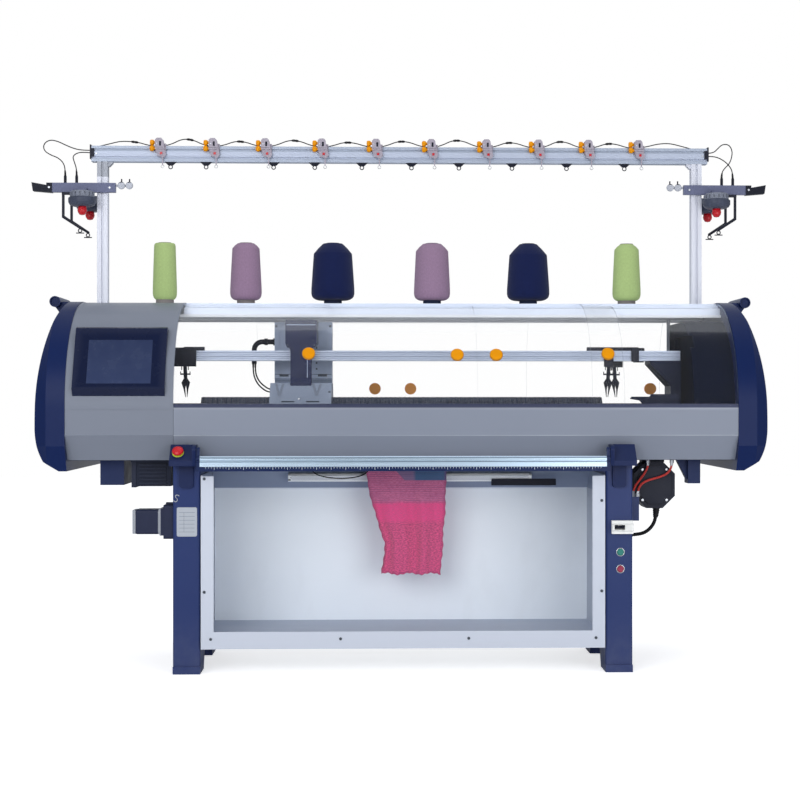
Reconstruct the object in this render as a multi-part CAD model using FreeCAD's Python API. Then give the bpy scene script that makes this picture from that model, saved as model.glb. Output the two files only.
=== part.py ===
import FreeCAD, Part
import math
import os

# Flat knitting machine, millimetres. X runs along the machine, Y from front to back, Z up.
# The origin is at the middle of the footprint, on the floor.
# Side views are drawn with d, the distance behind the front of the covers, and z, the height.

os.makedirs("parts", exist_ok=True)
Vec = FreeCAD.Vector
X_AXIS = Vec(1, 0, 0)
Y_AXIS = Vec(0, 1, 0)
Z_AXIS = Vec(0, 0, 1)

# ---------------------------------------------------------------- driving sizes
# body and covers
cover_span = 2340.0          # between the inner faces of the end caps
cap_length = 110.0           # one end cap, along X
body_depth = 860.0           # front covers to rear covers
bar_reach = 62.0             # how far the start bar stands in front of the covers
cover_foot_z = 929.0         # height of the covers' lower edge
cover_radius = 376.0         # front covers, outer face
rear_radius = 220.0          # rear covers, outer face
track_lip = 4.0              # outer lip of the lower tracks, above their floor
track_base = 11.0            # under their floor
cover_wall = 4.0             # clear sheet
track_gap = 4.0              # between the outer and the inner track
cover_fit = 1.0              # a cover's clearance in its tracks
sheet_wall = 3.0             # folded steel sheet
fold_z = 828.0               # fold line of the lower cover
skirt_bottom_z = 740.0
skirt_tuck = 55.0            # how far the lower cover leans back under its fold
control_length = 373.0       # grey control cover, along X
seam_deep = 1.2              # seam across the control cover, level with the skirt
recess_deep = 1.2            # recess along the control cover's crown
recess_from = 73.0           # where it starts, degrees up the curve
cap_proud = 6.0              # end caps stand this much proud of the covers
cap_bottom_z = 702.0
cap_bevel = 45.0             # faceted outer rim of an end cap
housing_width = 146.0        # inner housing beside the right end cap
cap_crown_r = 1470.0         # the cap's outer face, seen from the front, upper part
cap_widest_z = 870.0
cap_corner = 34.0            # height of the cut lower corner of an end cap
pin_radius = 20.0            # round lock pins on the end caps
pin_length = 220.0
pin_front = 300.0            # its front end, behind the front of the covers
# front covers, from left to right: left edge, width, track (0 outer, 1 inner), knob place
front_cover_left = (-796.0, -266.0, 259.0, 659.0)
front_cover_width = (530.0, 524.0, 514.0, 510.0)
front_cover_track = (0, 1, 1, 0)
front_knob_x = (-331.0, 188.0, 325.0, 717.0)
front_knob_angle = 28.0      # up the front covers' curve, degrees
rear_cover_left = (-1101.0, -565.0, -29.0, 507.0)
rear_cover_width = 535.0
rear_cover_track = (0, 1, 1, 0)
rear_knob_x = (-1066.0, -100.0, 42.0, 1006.0)
rear_knob_z = 995.0
knob_radius = 23.0
knob_height = 22.0
# yarn table
table_sheet = 3.0
ledge_drop = 43.0            # ledges under the covers' upper tracks, below the crown
table_rise = 3.0             # the deck stands this much above the crown
# frame
frame_bottom_z = 737.0
frame_end_z = 880.0          # top of the casting's end blocks
frame_half_depth = 200.0     # casting, in front of and behind the gap
roof_z = 915.0               # top of the casting past the needle beds
roof_end = 1016.0
racking_room = 27.0          # the rear bed moves this much to each side
slot_half = 20.0             # the fabric's slot through the casting
gap_depth = 300.0            # needle gap, behind the front of the covers
gap_z = 960.0
gap_half = 5.0
bed_slope = 180.0            # a needle bed, along its slope
bed_wall = 22.0
needle_span = 1462.0
needle_count = 86            # ribs and needles that each bed shows
needle_width = 5.0
needle_height = 2.5
racking_fit = 0.3            # the rear bed on its casting
bed_bar_width = 14.0         # flat bar that holds the needles down
tray_z = 795.0
# legs
leg_width = 95.0
leg_gap = 1410.0             # between the legs' inner faces
leg_depth = 540.0
leg_front = 8.0              # legs' front, behind the front of the covers
leg_edge = 8.0               # rounded upright edges
foot_height = 26.0
foot_flange = 7.0
leg_arch = 300.0             # length of the raised stretch under a leg
leg_arch_height = 60.0
# fabric bin
bin_clear = 3.0              # bin to leg
bin_sheet = 3.0
bin_top_z = 686.0
bin_floor_z = 125.0
bin_lip_top_z = 147.0
bin_lip_bottom_z = 87.0
bin_back = 470.0             # back panel, behind the front of the covers
bin_shoulder_z = 615.0
bin_shoulder_in = 90.0       # the upper panel leans forward by this much
bin_return = 44.0            # folded front edges of the side walls
lamp_width = 900.0
lamp_section = 33.0
lamp_z = 648.0
lamp_x = 30.0
# rollers
roller_radius = 20.0
roller_z = 712.0
roller_nip = 2.2
journal_radius = 9.0
journal_depth = 18.0
journal_fit = 0.05
# knitted panel
knit_thick = 1.4
# yarn feeder rails
rail_height = 36.0
rail_wall = 14.0
rail_mid_z = 1111.0
rail_offset = 41.0           # each rail's middle, from the gap
rail_left = -1000.0
rail_right = 1013.0
groove = 3.0
bracket_length = 112.0
bracket_foot = 38.0
bracket_depth = 126.0
# yarn feeders: place along X, width, which rail (-1 front, 1 rear)
feeder_x = (-785.0, 750.0, 786.0)
feeder_width = (80.0, 34.0, 62.0)
feeder_rail = (-1, -1, 1)
# each feeder's flat top bar: left end, right end, and an end block's width
feeder_bar = ((-790.0, -716.0, 0.0), (672.0, 860.0, 26.0), (722.0, 895.0, 38.0))
feeder_plate = 10.0
feeder_fit = 0.5
feeder_skirt = 22.0
finger_length = 122.0
finger_width = 13.0
# carriage
carriage_x = -365.0
carriage_width = 212.0
cam_cover_width = 219.0
cam_cover_rise = 106.0       # front and rear cam covers, above the beds
cam_lift = 1.5               # running clearance above the beds
cam_start = 12.0             # along the slope, from the gap
cam_end = 172.0
bridge_top_z = 1238.0
arm_head_width = 112.0
arm_head_height = 100.0
arm_stem_width = 76.0
arm_wall = 26.0
arm_front = 196.0            # front of the arm, behind the front of the covers
arm_foot_z = 990.0
tower_front = 384.0
tower_depth = 112.0
elbow_radius = 9.5           # moulded cable elbow on the tower's left side
elbow_bend = 30.0
elbow_out = 79.0             # its drop, from the tower's side
elbow_z = 1167.0
elbow_foot_z = 1085.0
elbow_back = 56.0            # behind the tower's front
cable_diameter = 5.5
# belt drive
pulley_radius = 40.0
pulley_width = 24.0
pulley_bore = 10.0
pulley_x = 1070.0
pulley_z = 845.0
belt_wall = 5.0
belt_width = 20.0
belt_fit = 0.4
belt_depth = 580.0           # behind the front of the covers
# start bar
bar_over = 7.0               # the start bar reaches this much past the legs' inner faces
bar_height = 36.0
bar_section = 24.0
bar_top_z = 757.0
strip_height = 16.0
pivot_z = 778.0
pivot_radius = 6.0
pivot_fit = 0.05
lug_thick = 12.0
lug_gap = 1.0
bracket_width = 92.0
bracket_bottom_z = 645.0
bracket_stem = 48.0
# switches
mushroom_radius = 20.0
mushroom_neck = 11.0
stop_inset = 64.0            # the stop button's axis, from the bracket's inner face
stop_z = 768.0               # where its axis meets the sloping face
ear_radius = 16.0            # ear round the start bar's pivot
ear_thick = 14.0
button_radius = 11.5
button_fit = 0.3
button_out = 5.0
start_button_z = 419.0
off_button_z = 360.0
button_x = 757.0
breaker_width = 75.0
breaker_height = 46.0
breaker_depth = 34.0
breaker_x = 762.0
breaker_z = 507.0
breaker_rise = 20.0          # the toggles' tilt when switched on
lever_shift = -16.0          # the toggles, from the breaker's middle
# motors
motor_size = 86.0
motor_length = 80.0
take_down_z = 526.0
main_motor_length = 139.0
main_motor_x = -890.0
octagon_width = 146.0
octagon_height = 167.0
octagon_depth = 120.0
octagon_x = 896.0
octagon_z = 648.0
valve_top_z = 608.0          # top of the valve plate beside the right leg
air_hose_diameter = 8.0
bundle_diameter = 14.0
cord_gap = 0.02              # between a cord's end and the face that it meets
# yarn stand
post_x = 1137.0
post_size = 40.0
post_depth = 600.0           # posts' middle, behind the front of the covers
post_slot = 8.0
post_slot_depth = 7.0
top_rail_z = 1888.0
top_rail_height = 60.0
rail_over = 42.0             # the top rail reaches this much past the posts
# yarn stop units and wire guides: places along X, as they were clamped
sensor_x = (-920.0, -717.0, -518.0, -303.0, -96.0, 115.0, 326.0, 525.0, 717.0, 909.0)
guide_x = (-879.0, -744.0, -487.0, -330.0, -150.0, 40.0, 222.0, 426.0, 636.0, 859.0)
sensor_width = 30.0
sensor_cap_radius = 11.0
sensor_depth = 34.0          # a unit's depth over the top rail
lead_diameter = 4.0
# side arms
side_bar_z = 1756.0
side_bar_inner = 1084.0
side_bar_outer = 1345.0
side_bar_height = 36.0
side_bar_wall = 20.0
side_end = 1400.0
drum_x = 1204.0
drum_front = 530.0
drum_rear = 700.0
drum_radius = 52.0           # lower, wide body of a storage feeder
drum_slots = 16
slot_width = 5.0
slot_deep = 4.0
drum_split_z = 1716.0
drum_foot_z = 1680.0
housing_radius = 46.0        # its slotted upper part
plug_radius = 5.5            # plugs of the drop leads, on the side arms
plug_height = 26.0
plug_x = (1232.0, 1275.0)    # the right arm's plugs; the left arm has them mirrored
lamp_radius = 18.0
# cones: place along X, widest radius, shoulder radius, top radius, shoulder height, waist height
cone_x = (-887.0, -584.0, -258.0, 115.0, 478.0, 851.0)
cone_radius = (45.0, 59.0, 81.0, 68.0, 80.0, 53.0)
cone_shoulder = (40.0, 51.0, 72.0, 61.0, 71.0, 46.0)
cone_top = (36.0, 33.0, 38.0, 36.0, 34.0, 27.0)
cone_height = 232.0
cone_depth = 480.0
tube_foot = 34.0
tube_head = 24.0

# ---------------------------------------------------------------- derived places
front_y = (bar_reach - body_depth - knob_height) / 2
inner_x = cover_span / 2
crown_z = cover_foot_z + cover_radius
front_arc_d = cover_radius
rear_arc_d = body_depth - rear_radius
rear_arc_z = crown_z - rear_radius
ledge_z = crown_z - ledge_drop
deck_z = crown_z + table_rise
control_right = -inner_x + control_length
skirt_front = -(cover_fit + 2.0)          # the skirts stand level with the rails' lips
rail_top_z = rail_mid_z + rail_height / 2
leg_inner = leg_gap / 2
leg_outer = leg_inner + leg_width
bar_half = leg_inner + bar_over
top_rail_half = post_x + rail_over
COS45 = math.sqrt(0.5)


# ---------------------------------------------------------------- helpers
def at(d):
    """The Y of a place that lies d behind the front of the covers."""
    return front_y + d


def block(x0, x1, d0, d1, z0, z1):
    return Part.makeBox(x1 - x0, d1 - d0, z1 - z0, Vec(x0, at(d0), z0))


def side_face(points):
    """A face in the side view, from (d, z) points."""
    corners = [Vec(0, at(d), z) for d, z in points]
    return Part.Face(Part.makePolygon(corners + corners[:1]))


def along_x(face, x0, x1):
    moved = face.copy()
    moved.translate(Vec(x0, 0, 0))
    return moved.extrude(Vec(x1 - x0, 0, 0))


def side_prism(points, x0, x1):
    return along_x(side_face(points), x0, x1)


def front_prism(points, d0, d1):
    """A shape drawn in the front view, from (x, z) points, between two depths."""
    corners = [Vec(x, at(d0), z) for x, z in points]
    face = Part.Face(Part.makePolygon(corners + corners[:1]))
    return face.extrude(Vec(0, d1 - d0, 0))


def rod(radius, length, place, axis):
    return Part.makeCylinder(radius, length, place, axis)


def turned(profile, place, tilt=0.0):
    """A turned piece from (radius, height) points, stood at a place and tilted about X."""
    corners = [Vec(r, 0, h) for r, h in profile]
    face = Part.Face(Part.makePolygon(corners + corners[:1]))
    piece = face.revolve(Vec(0, 0, 0), Z_AXIS, 360)
    piece.rotate(Vec(0, 0, 0), X_AXIS, tilt)
    piece.translate(place)
    return piece


def joined(pieces):
    whole = pieces[0].fuse(pieces[1:]) if len(pieces) > 1 else pieces[0]
    return whole.removeSplitter()


def group(pieces):
    return Part.makeCompound(pieces)


def save(name, shape):
    shape.exportStep("parts/" + name + ".step")
    print(name, len(shape.Solids), round(shape.Volume / 1000.0), "cm3", shape.isValid())


def rounded(shape, radius, pick):
    """The shape with the edges that pick chooses rounded."""
    edges = [edge for edge in shape.Edges if pick(edge)]
    return shape.makeFillet(radius, edges)


def is_upright(edge):
    first, last = edge.Vertexes[0].Point, edge.Vertexes[-1].Point
    return abs(first.x - last.x) < 0.01 and abs(first.y - last.y) < 0.01


def arc_edge(centre, radius, start, end):
    """An arc in the side view, from one angle to another, degrees above the front direction."""
    points = []
    for share in (0.0, 0.5, 1.0):
        angle = math.radians(start + (end - start) * share)
        d = centre[0] - radius * math.cos(angle)
        points.append(Vec(0, at(d), centre[1] + radius * math.sin(angle)))
    return Part.Arc(*points).toShape()


def close_face(edges):
    """A face from edges in order, with straight lines where they leave gaps."""
    chain = []
    for index, edge in enumerate(edges):
        chain.append(edge)
        here = edge.lastVertex(True).Point
        there = edges[(index + 1) % len(edges)].firstVertex(True).Point
        if here.distanceToPoint(there) > 1e-6:
            chain.append(Part.LineSegment(here, there).toShape())
    return Part.Face(Part.Wire(chain))


def line_path(points):
    """Straight edges through (d, z) points."""
    corners = [Vec(0, at(d), z) for d, z in points]
    return [Part.LineSegment(a, b).toShape() for a, b in zip(corners, corners[1:])]


def tube(name, points, diameter, sides=8):
    """A cord's tube: straight runs joined by tangent arcs as large as the runs allow."""
    corners = [Vec(*p) for p in points]
    for end, inner in ((0, 1), (-1, -2)):
        toward = corners[inner].sub(corners[end]).normalize().multiply(cord_gap)
        corners[end] = corners[end].add(toward)
    runs = [b.sub(a) for a, b in zip(corners, corners[1:])]
    edges = []
    start = corners[0]
    tightest = None
    for index in range(1, len(corners) - 1):
        into, out = runs[index - 1], runs[index]
        half = into.getAngle(out) / 2
        short = min(into.Length, out.Length)
        reach = 0.45 * short
        radius = reach / math.tan(half)
        tightest = radius if tightest is None else min(tightest, radius)
        first = corners[index].sub(into.normalize().multiply(reach))
        last = corners[index].add(Vec(out).normalize().multiply(reach))
        bisector = first.add(last).multiply(0.5).sub(corners[index])
        middle_gap = radius / math.cos(half) - radius
        middle = corners[index].add(bisector.normalize().multiply(middle_gap))
        edges.append(Part.LineSegment(start, first).toShape())
        edges.append(Part.Arc(first, middle, last).toShape())
        start = last
        runs[index - 1] = corners[index].sub(corners[index - 1])
    edges.append(Part.LineSegment(start, corners[-1]).toShape())
    path = Part.Wire(edges)
    heading = corners[1].sub(corners[0]).normalize()
    side = heading.cross(Z_AXIS)
    if side.Length < 0.1:
        side = heading.cross(X_AXIS)
    side.normalize()
    up = heading.cross(side)
    ring = []
    for step in range(sides):
        angle = 2 * math.pi * step / sides
        across = Vec(side).multiply(math.cos(angle) * diameter / 2)
        ring.append(corners[0].add(across).add(Vec(up).multiply(math.sin(angle) * diameter / 2)))
    section = Part.makePolygon(ring + ring[:1])
    piece = path.makePipeShell([section], True, False)
    expected = Part.Face(section).Area * path.Length
    print("cord", name, "tightest arc", round(tightest, 1), "length", round(path.Length),
          "volume share", round(piece.Volume / expected, 3))
    return piece


# ---------------------------------------------------------------- legs
def make_leg(side):
    """A welded box leg with a foot flange, an arch under it and a window in its outer wall."""
    x0, x1 = sorted((side * leg_inner, side * leg_outer))
    back = leg_front + leg_depth
    leg = block(x0, x1, leg_front, back, 0, frame_bottom_z)
    leg = rounded(leg, leg_edge, is_upright)
    middle = (leg_front + back) / 2
    half = leg_arch / 2
    arch = side_prism([(middle - half, -1), (middle - half + 30, leg_arch_height),
                       (middle + half - 30, leg_arch_height), (middle + half, -1)], x0 - 9, x1 + 9)
    leg = leg.cut(arch)
    # shallow panels pressed into both side walls
    for wall in (x0, x1 - 2.5):
        panel = block(wall, wall + 2.5, leg_front + 60, back - 60, 190, frame_bottom_z - 90)
        leg = leg.cut(rounded(panel, 25, lambda e: abs(e.Length - 2.5) < 0.01))
    # raised foot band at the floor
    for d0, d1 in ((leg_front - foot_flange, middle - half), (middle + half, back + foot_flange)):
        foot = block(x0, x1, d0, d1, 0, foot_height)
        leg = leg.fuse(foot)
    bore = journal_radius + journal_fit
    for roller_d in (first_roller_d, second_roller_d):
        start = side * (leg_inner - 1)
        leg = leg.cut(rod(bore, journal_depth + 3, Vec(start, at(roller_d), roller_z),
                          Vec(side, 0, 0)))
    if side > 0:
        for z in (start_button_z, off_button_z):
            hole = rod(button_radius + button_fit, 30, Vec(button_x, at(leg_front - 10), z), Y_AXIS)
            leg = leg.cut(hole)
        # junction plate on the outer wall, where the air hoses end
        leg = leg.fuse(block(x1 - 3, x1 + 34, leg_front + 70, leg_front + 90, 523, valve_top_z))
    return leg.removeSplitter()


first_roller_d = gap_depth - roller_nip / 2 - roller_radius
second_roller_d = gap_depth + roller_nip / 2 + roller_radius

# ---------------------------------------------------------------- frame casting and beds
def bed_point(side, along, above):
    """A (d, z) place on a needle bed: along its slope from the gap, and above its face."""
    out = gap_half + along * COS45 + above * COS45
    return (gap_depth + side * out, gap_z - along * COS45 + above * COS45)


def bed_section(side, lift=0.0):
    top = bed_point(side, 0, 0)
    low = bed_point(side, bed_slope, 0)
    back = bed_point(side, bed_slope, -bed_wall)
    gap_foot = (top[0], gap_z - bed_wall / COS45)
    return [top, low, back, gap_foot]


def make_bed(side):
    """A needle bed: ribbed plate with its needles between the ribs and a bar over them."""
    plate = side_prism(bed_section(side), -needle_span / 2, needle_span / 2)
    ribs = []
    pitch = needle_span / needle_count
    profile = [bed_point(side, 1.0, 0), bed_point(side, 1.0, needle_height),
               bed_point(side, 26.0, needle_height), bed_point(side, 34.0, needle_height * 2),
               bed_point(side, 44.0, needle_height), bed_point(side, 168.0, needle_height),
               bed_point(side, 168.0, 0)]
    for index in range(needle_count):
        x = -needle_span / 2 + pitch * (index + 0.5) - needle_width / 2
        ribs.append(side_prism(profile, x, x + needle_width))
    return plate.fuse(ribs)


def make_frame():
    """The bed casting: two ridges with a slot for the fabric between them, and end blocks."""
    pieces = []
    for side, fit in ((-1, 0.0), (1, racking_fit)):
        half = needle_span / 2 + (racking_room if side > 0 else 0.0)
        low = bed_point(side, bed_slope, -bed_wall - fit)
        inner = gap_depth + side * slot_half
        slope_z = gap_z - (bed_wall + fit) / COS45 - (slot_half - gap_half)
        outer = gap_depth + side * frame_half_depth
        ridge = [(inner, frame_bottom_z), (inner, slope_z), low,
                 (low[0] + side * 30, low[1] - 30), (outer, low[1] - 30), (outer, frame_bottom_z)]
        pieces.append(side_prism(ridge, -half, half))
        # past the bed's ends the casting carries on under the cam covers, and is then flat
        rim = (outer, low[1] - 30)
        foot = bed_point(side, bed_slope, 0)
        head = bed_point(side, (gap_z - roof_z) / COS45, 0)
        roof = [(gap_depth, frame_bottom_z), (gap_depth, roof_z), head, foot,
                (foot[0], rim[1]), rim, (outer, frame_bottom_z)]
        for end in (-1, 1):
            x0, x1 = sorted((end * half, end * roof_end))
            pieces.append(side_prism(roof, x0, x1))
    d0, d1 = gap_depth - frame_half_depth, gap_depth + frame_half_depth
    for end in (-1, 1):
        x0, x1 = sorted((end * roof_end, end * inner_x))
        pieces.append(block(x0, x1, d0, d1, frame_bottom_z, frame_end_z))
    # catch plate in front of the right end
    catch = [(804, 954), (810, 962), (874, 962), (880, 971), (978, 971), (978, 770), (870, 770),
             (870, 912), (838, 948)]
    pieces.append(front_prism(catch, d0 - 10, d0))
    # tray behind the casting, and hanging boxes under both ends
    pieces.append(block(-inner_x, inner_x, d1, body_depth - 20, tray_z, tray_z + sheet_wall))
    pieces.append(block(-1068, -985, 120, 300, 650, frame_bottom_z))
    pieces.append(block(1018, 1062, 130, 200, 652, frame_bottom_z))
    pieces.append(front_prism([(980, frame_bottom_z), (1018, frame_bottom_z), (1018, 662)], 150, 180))
    # brackets that carry the feeder rails, with a curved gusset towards the middle
    for side, foot in ((-1, rail_left), (1, rail_right)):
        under = rail_mid_z - rail_height / 2
        outline = [(foot, frame_end_z), (foot, under), (foot - side * bracket_length, under),
                   (foot - side * bracket_length, under - 12),
                   (foot - side * bracket_foot, under - 92),
                   (foot - side * bracket_foot, frame_end_z)]
        pieces.append(front_prism(outline, gap_depth - bracket_depth / 2,
                                  gap_depth + bracket_depth / 2))
    return joined(pieces)


# ---------------------------------------------------------------- end caps
def cap_outline(proud):
    """The side view of an end cap, moved outwards by proud."""
    big = cover_radius + cap_proud + proud
    small = rear_radius + cap_proud + proud
    low = cap_bottom_z - proud
    front_d = -cap_proud - proud
    back_d = body_depth + cap_proud + proud
    front = arc_edge((front_arc_d, cover_foot_z), big, 0, 90)
    rear = arc_edge((rear_arc_d, rear_arc_z), small, 90, 180)
    under = line_path([(back_d, 800), (back_d - 60, low), (34, low), (front_d, 790)])
    edges = [front, rear] + under
    return close_face(edges)


def make_cap(side):
    """A moulded end cap: a barrel outline with a faceted rim, crowned when seen from the front."""
    inner = inner_x
    outer = inner_x + cap_length
    rim = outer - cap_bevel
    full = cap_outline(0.0)
    body = along_x(full, inner, rim)
    wide = full.OuterWire.copy()
    wide.translate(Vec(rim, 0, 0))
    small = cap_outline(-cap_bevel * 0.8).OuterWire.copy()
    small.translate(Vec(outer, 0, 0))
    bevel = Part.makeLoft([wide, small], True, True)
    cap = body.fuse(bevel)
    top = crown_z + cap_proud + 1
    low = cap_bottom_z - 1
    drop = top - cap_widest_z
    lean = cap_crown_r - math.sqrt(cap_crown_r ** 2 - drop ** 2)
    lean_mid = cap_crown_r - math.sqrt(cap_crown_r ** 2 - (drop / 2) ** 2)
    y = at(-20)
    upper = Part.Arc(Vec(outer - lean, y, top), Vec(outer - lean_mid, y, cap_widest_z + drop / 2),
                     Vec(outer, y, cap_widest_z))
    lower = Part.Arc(Vec(outer, y, cap_widest_z), Vec(outer - 7, y, cap_widest_z - 75),
                     Vec(outer - 30, y, low + cap_corner))
    foot = Vec(outer - 84, y, low)
    rest = [Part.LineSegment(Vec(outer - 30, y, low + cap_corner), foot),
            Part.LineSegment(foot, Vec(inner, y, low)),
            Part.LineSegment(Vec(inner, y, low), Vec(inner, y, top)),
            Part.LineSegment(Vec(inner, y, top), Vec(outer - lean, y, top))]
    outline = Part.Face(Part.Wire([e.toShape() for e in [upper, lower] + rest]))
    cap = cap.common(outline.extrude(Vec(0, body_depth + 40, 0)))
    # lock cylinder along the top corner, on a wedge-shaped saddle
    pin_x = outer - 18
    pin = rod(pin_radius, pin_length, Vec(pin_x, at(pin_front), crown_z + 3), Y_AXIS)
    hollow = rod(pin_radius - 4, 10, Vec(pin_x, at(pin_front - 1), crown_z + 3), Y_AXIS)
    saddle = front_prism([(outer - 72, crown_z + 3), (pin_x - 10, crown_z + 3),
                          (pin_x + 4, crown_z - 14), (pin_x - 12, crown_z - 36),
                          (outer - 72, crown_z - 60)], pin_front + 24, pin_front + pin_length - 24)
    cap = cap.fuse([pin, saddle]).cut(hollow)
    if side > 0:
        # inner housing at the right end, seen through the covers
        arc = arc_edge((front_arc_d, cover_foot_z), cover_radius - 46, 0, 68)
        top_d = front_arc_d - (cover_radius - 46) * math.cos(math.radians(68))
        top_z = cover_foot_z + (cover_radius - 46) * math.sin(math.radians(68))
        path = [arc] + line_path([(top_d, top_z), (540, top_z), (540, frame_end_z),
                                  (front_arc_d - cover_radius + 46, frame_end_z)])
        housing = along_x(close_face(path), inner - housing_width, inner)
        window = block(inner - housing_width, inner - housing_width + 14, 120, 420, 960, 1180)
        strip = block(inner - housing_width - 10, inner - housing_width + 1, 526, 540, 1136, 1258)
        cap = cap.fuse([housing.cut(window), strip])
    if side < 0:
        cap = cap.mirror(Vec(0, 0, 0), X_AXIS)
    return cap.removeSplitter()


# ---------------------------------------------------------------- covers
def cover_face(kind, track):
    """A clear cover's section: foot, straight stretch if any, and curve up to the crown."""
    radius = cover_radius if kind == "front" else rear_radius
    centre = (front_arc_d, cover_foot_z) if kind == "front" else (rear_arc_d, rear_arc_z)
    outer = radius - track * (cover_wall + track_gap)
    inner = outer - cover_wall
    stop = (8.0, 32.0)[track]
    top = 90 - math.degrees(stop / outer)
    if kind == "rear":
        angles = (180 - top, 180.0)
        up = arc_edge(centre, outer, angles[0], angles[1])
        down = arc_edge(centre, inner, angles[1], angles[0])
        feet = line_path([(centre[0] + outer, cover_foot_z), (centre[0] + inner, cover_foot_z)])
        return close_face([up, feet[0], down])
    up = arc_edge(centre, outer, 0, top)
    down = arc_edge(centre, inner, top, 0)
    return close_face([up, down])


def knob(place, tilt):
    """A turned knob with a waist and a domed head."""
    r, h = knob_radius, knob_height
    return turned([(0, -2), (r * 0.55, -2), (r * 0.55, 5), (r * 0.8, 8), (r, 10), (r, h - 5),
                   (r * 0.86, h - 1.5), (r * 0.5, h), (0, h)], place, tilt)


def make_front_cover(index):
    left, width = front_cover_left[index], front_cover_width[index]
    shell = along_x(cover_face("front", front_cover_track[index]), left, left + width)
    radius = cover_radius - front_cover_track[index] * (cover_wall + track_gap)
    angle = math.radians(front_knob_angle)
    place = Vec(front_knob_x[index], at(front_arc_d - radius * math.cos(angle)),
                cover_foot_z + radius * math.sin(angle))
    return joined([shell, knob(place, 90 - front_knob_angle)])


def make_rear_cover(index):
    left = rear_cover_left[index]
    shell = along_x(cover_face("rear", rear_cover_track[index]), left, left + rear_cover_width)
    radius = rear_radius - rear_cover_track[index] * (cover_wall + track_gap)
    place = Vec(rear_knob_x[index], at(rear_arc_d + radius), rear_knob_z)
    return joined([shell, knob(place, -90)])


def lower_track(radius, centre_d, sign):
    """The grooved rail under the covers' feet, with a lip in front and a fin between tracks."""
    def place(r, z):
        return (centre_d + sign * r, z)

    fit = cover_fit
    step = cover_wall + track_gap
    mid = radius - cover_wall - track_gap / 2
    inner = radius - step - cover_wall
    floor = cover_foot_z - fit
    lip = floor + 9
    base = floor - track_base
    low_lip = floor + track_lip
    return side_face([place(radius + fit + 2, base), place(radius + fit + 2, low_lip),
                      place(radius + fit, low_lip), place(radius + fit, floor),
                      place(mid + 1, floor), place(mid + 1, lip),
                      place(mid - 1, lip), place(mid - 1, floor),
                      place(inner - fit, floor), place(inner - fit, lip),
                      place(inner - fit - 2, lip), place(inner - fit - 2, base)])


def upper_track(radius, centre, reach, sign):
    """The stepped rail under the covers' upper edges, with a stop behind each track."""
    step = cover_wall + track_gap
    outer_ledge = radius - cover_wall - cover_fit
    inner_ledge = outer_ledge - step
    stop = radius + cover_fit + 1
    outer_angle = 90 - math.degrees((8.0 - cover_fit) / radius)
    inner_angle = 90 - math.degrees((32.0 - cover_fit) / radius)
    start_angle = 90 - math.degrees(reach / radius)

    def place(r, angle):
        turn = math.radians(angle)
        return (centre[0] + sign * r * math.cos(turn), centre[1] + r * math.sin(turn))

    end_d = centre[0] - sign * 9.0
    start = place(inner_ledge, start_angle)
    return side_face([start, place(inner_ledge, inner_angle), place(outer_ledge, inner_angle),
                      place(outer_ledge, outer_angle), place(stop, outer_angle),
                      (end_d, centre[1] + stop), (end_d, ledge_z), (start[0], ledge_z)])


def make_tracks():
    left, right = control_right + 1.0, inner_x
    front_low = lower_track(cover_radius, front_arc_d, -1)
    rear_low = lower_track(rear_radius, rear_arc_d, 1)
    front_high = upper_track(cover_radius, (front_arc_d, cover_foot_z), 74.0, -1)
    rear_high = upper_track(rear_radius, (rear_arc_d, rear_arc_z), 58.0, 1)
    return group([along_x(front_low, left, right), along_x(front_high, left, right),
                  along_x(rear_low, -inner_x, right), along_x(rear_high, -inner_x, right)])


def skirt_points(front_d, lean, top_z):
    """The folded lower cover in the side view: wall, leaning stretch and flange."""
    w = sheet_wall
    flange = gap_depth - frame_half_depth
    return [(front_d, top_z), (front_d, fold_z), (front_d + lean, skirt_bottom_z),
            (flange, skirt_bottom_z), (flange, skirt_bottom_z + w),
            (front_d + lean + w * 0.7, skirt_bottom_z + w), (front_d + w, fold_z + 1),
            (front_d + w, top_z)]


def make_skirts():
    """Front lower cover, and the plain rear one."""
    top = cover_foot_z - cover_fit - track_base
    front = side_prism(skirt_points(skirt_front, skirt_tuck, top), control_right + 1.0, inner_x)
    foot = body_depth - skirt_front
    rear = side_prism([(foot, top), (foot, skirt_bottom_z), (foot - 60, skirt_bottom_z),
                       (foot - 60, skirt_bottom_z + sheet_wall),
                       (foot - sheet_wall, skirt_bottom_z + sheet_wall),
                       (foot - sheet_wall, tray_z), (body_depth - 20, tray_z),
                       (body_depth - 20, tray_z + sheet_wall),
                       (foot - sheet_wall, tray_z + sheet_wall), (foot - sheet_wall, top)],
                      -inner_x, inner_x)
    return group([front, rear])


def make_control_cover():
    """The grey sheet over the control unit, curved like the covers, in one piece with its skirt."""
    outer = cover_radius + cover_fit + 2
    inner = outer - sheet_wall
    centre = (front_arc_d, cover_foot_z)
    low = skirt_points(skirt_front, skirt_tuck, cover_foot_z)
    up = arc_edge(centre, outer, 90, 0)
    down = arc_edge(centre, inner, 0, 90)
    deck_front = front_arc_d + 9.0
    top = line_path([(front_arc_d, cover_foot_z + inner), (deck_front, cover_foot_z + inner),
                     (deck_front, cover_foot_z + outer)])
    outline = [up] + line_path(low) + [down] + top
    cover = along_x(close_face(outline), -inner_x, control_right)
    seam_z = cover_foot_z - cover_fit - track_base
    seam = block(-inner_x - 1, control_right + 1, skirt_front - 1, skirt_front + seam_deep,
                 seam_z - 1.5, seam_z)
    # shallow recess along the crown
    floor = arc_edge(centre, outer - recess_deep, recess_from, 89)
    roof = arc_edge(centre, outer + 2, 89, recess_from)
    recess = along_x(close_face([floor, roof]), -inner_x + 14, control_right - 8)
    return cover.cut([seam, recess])


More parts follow.
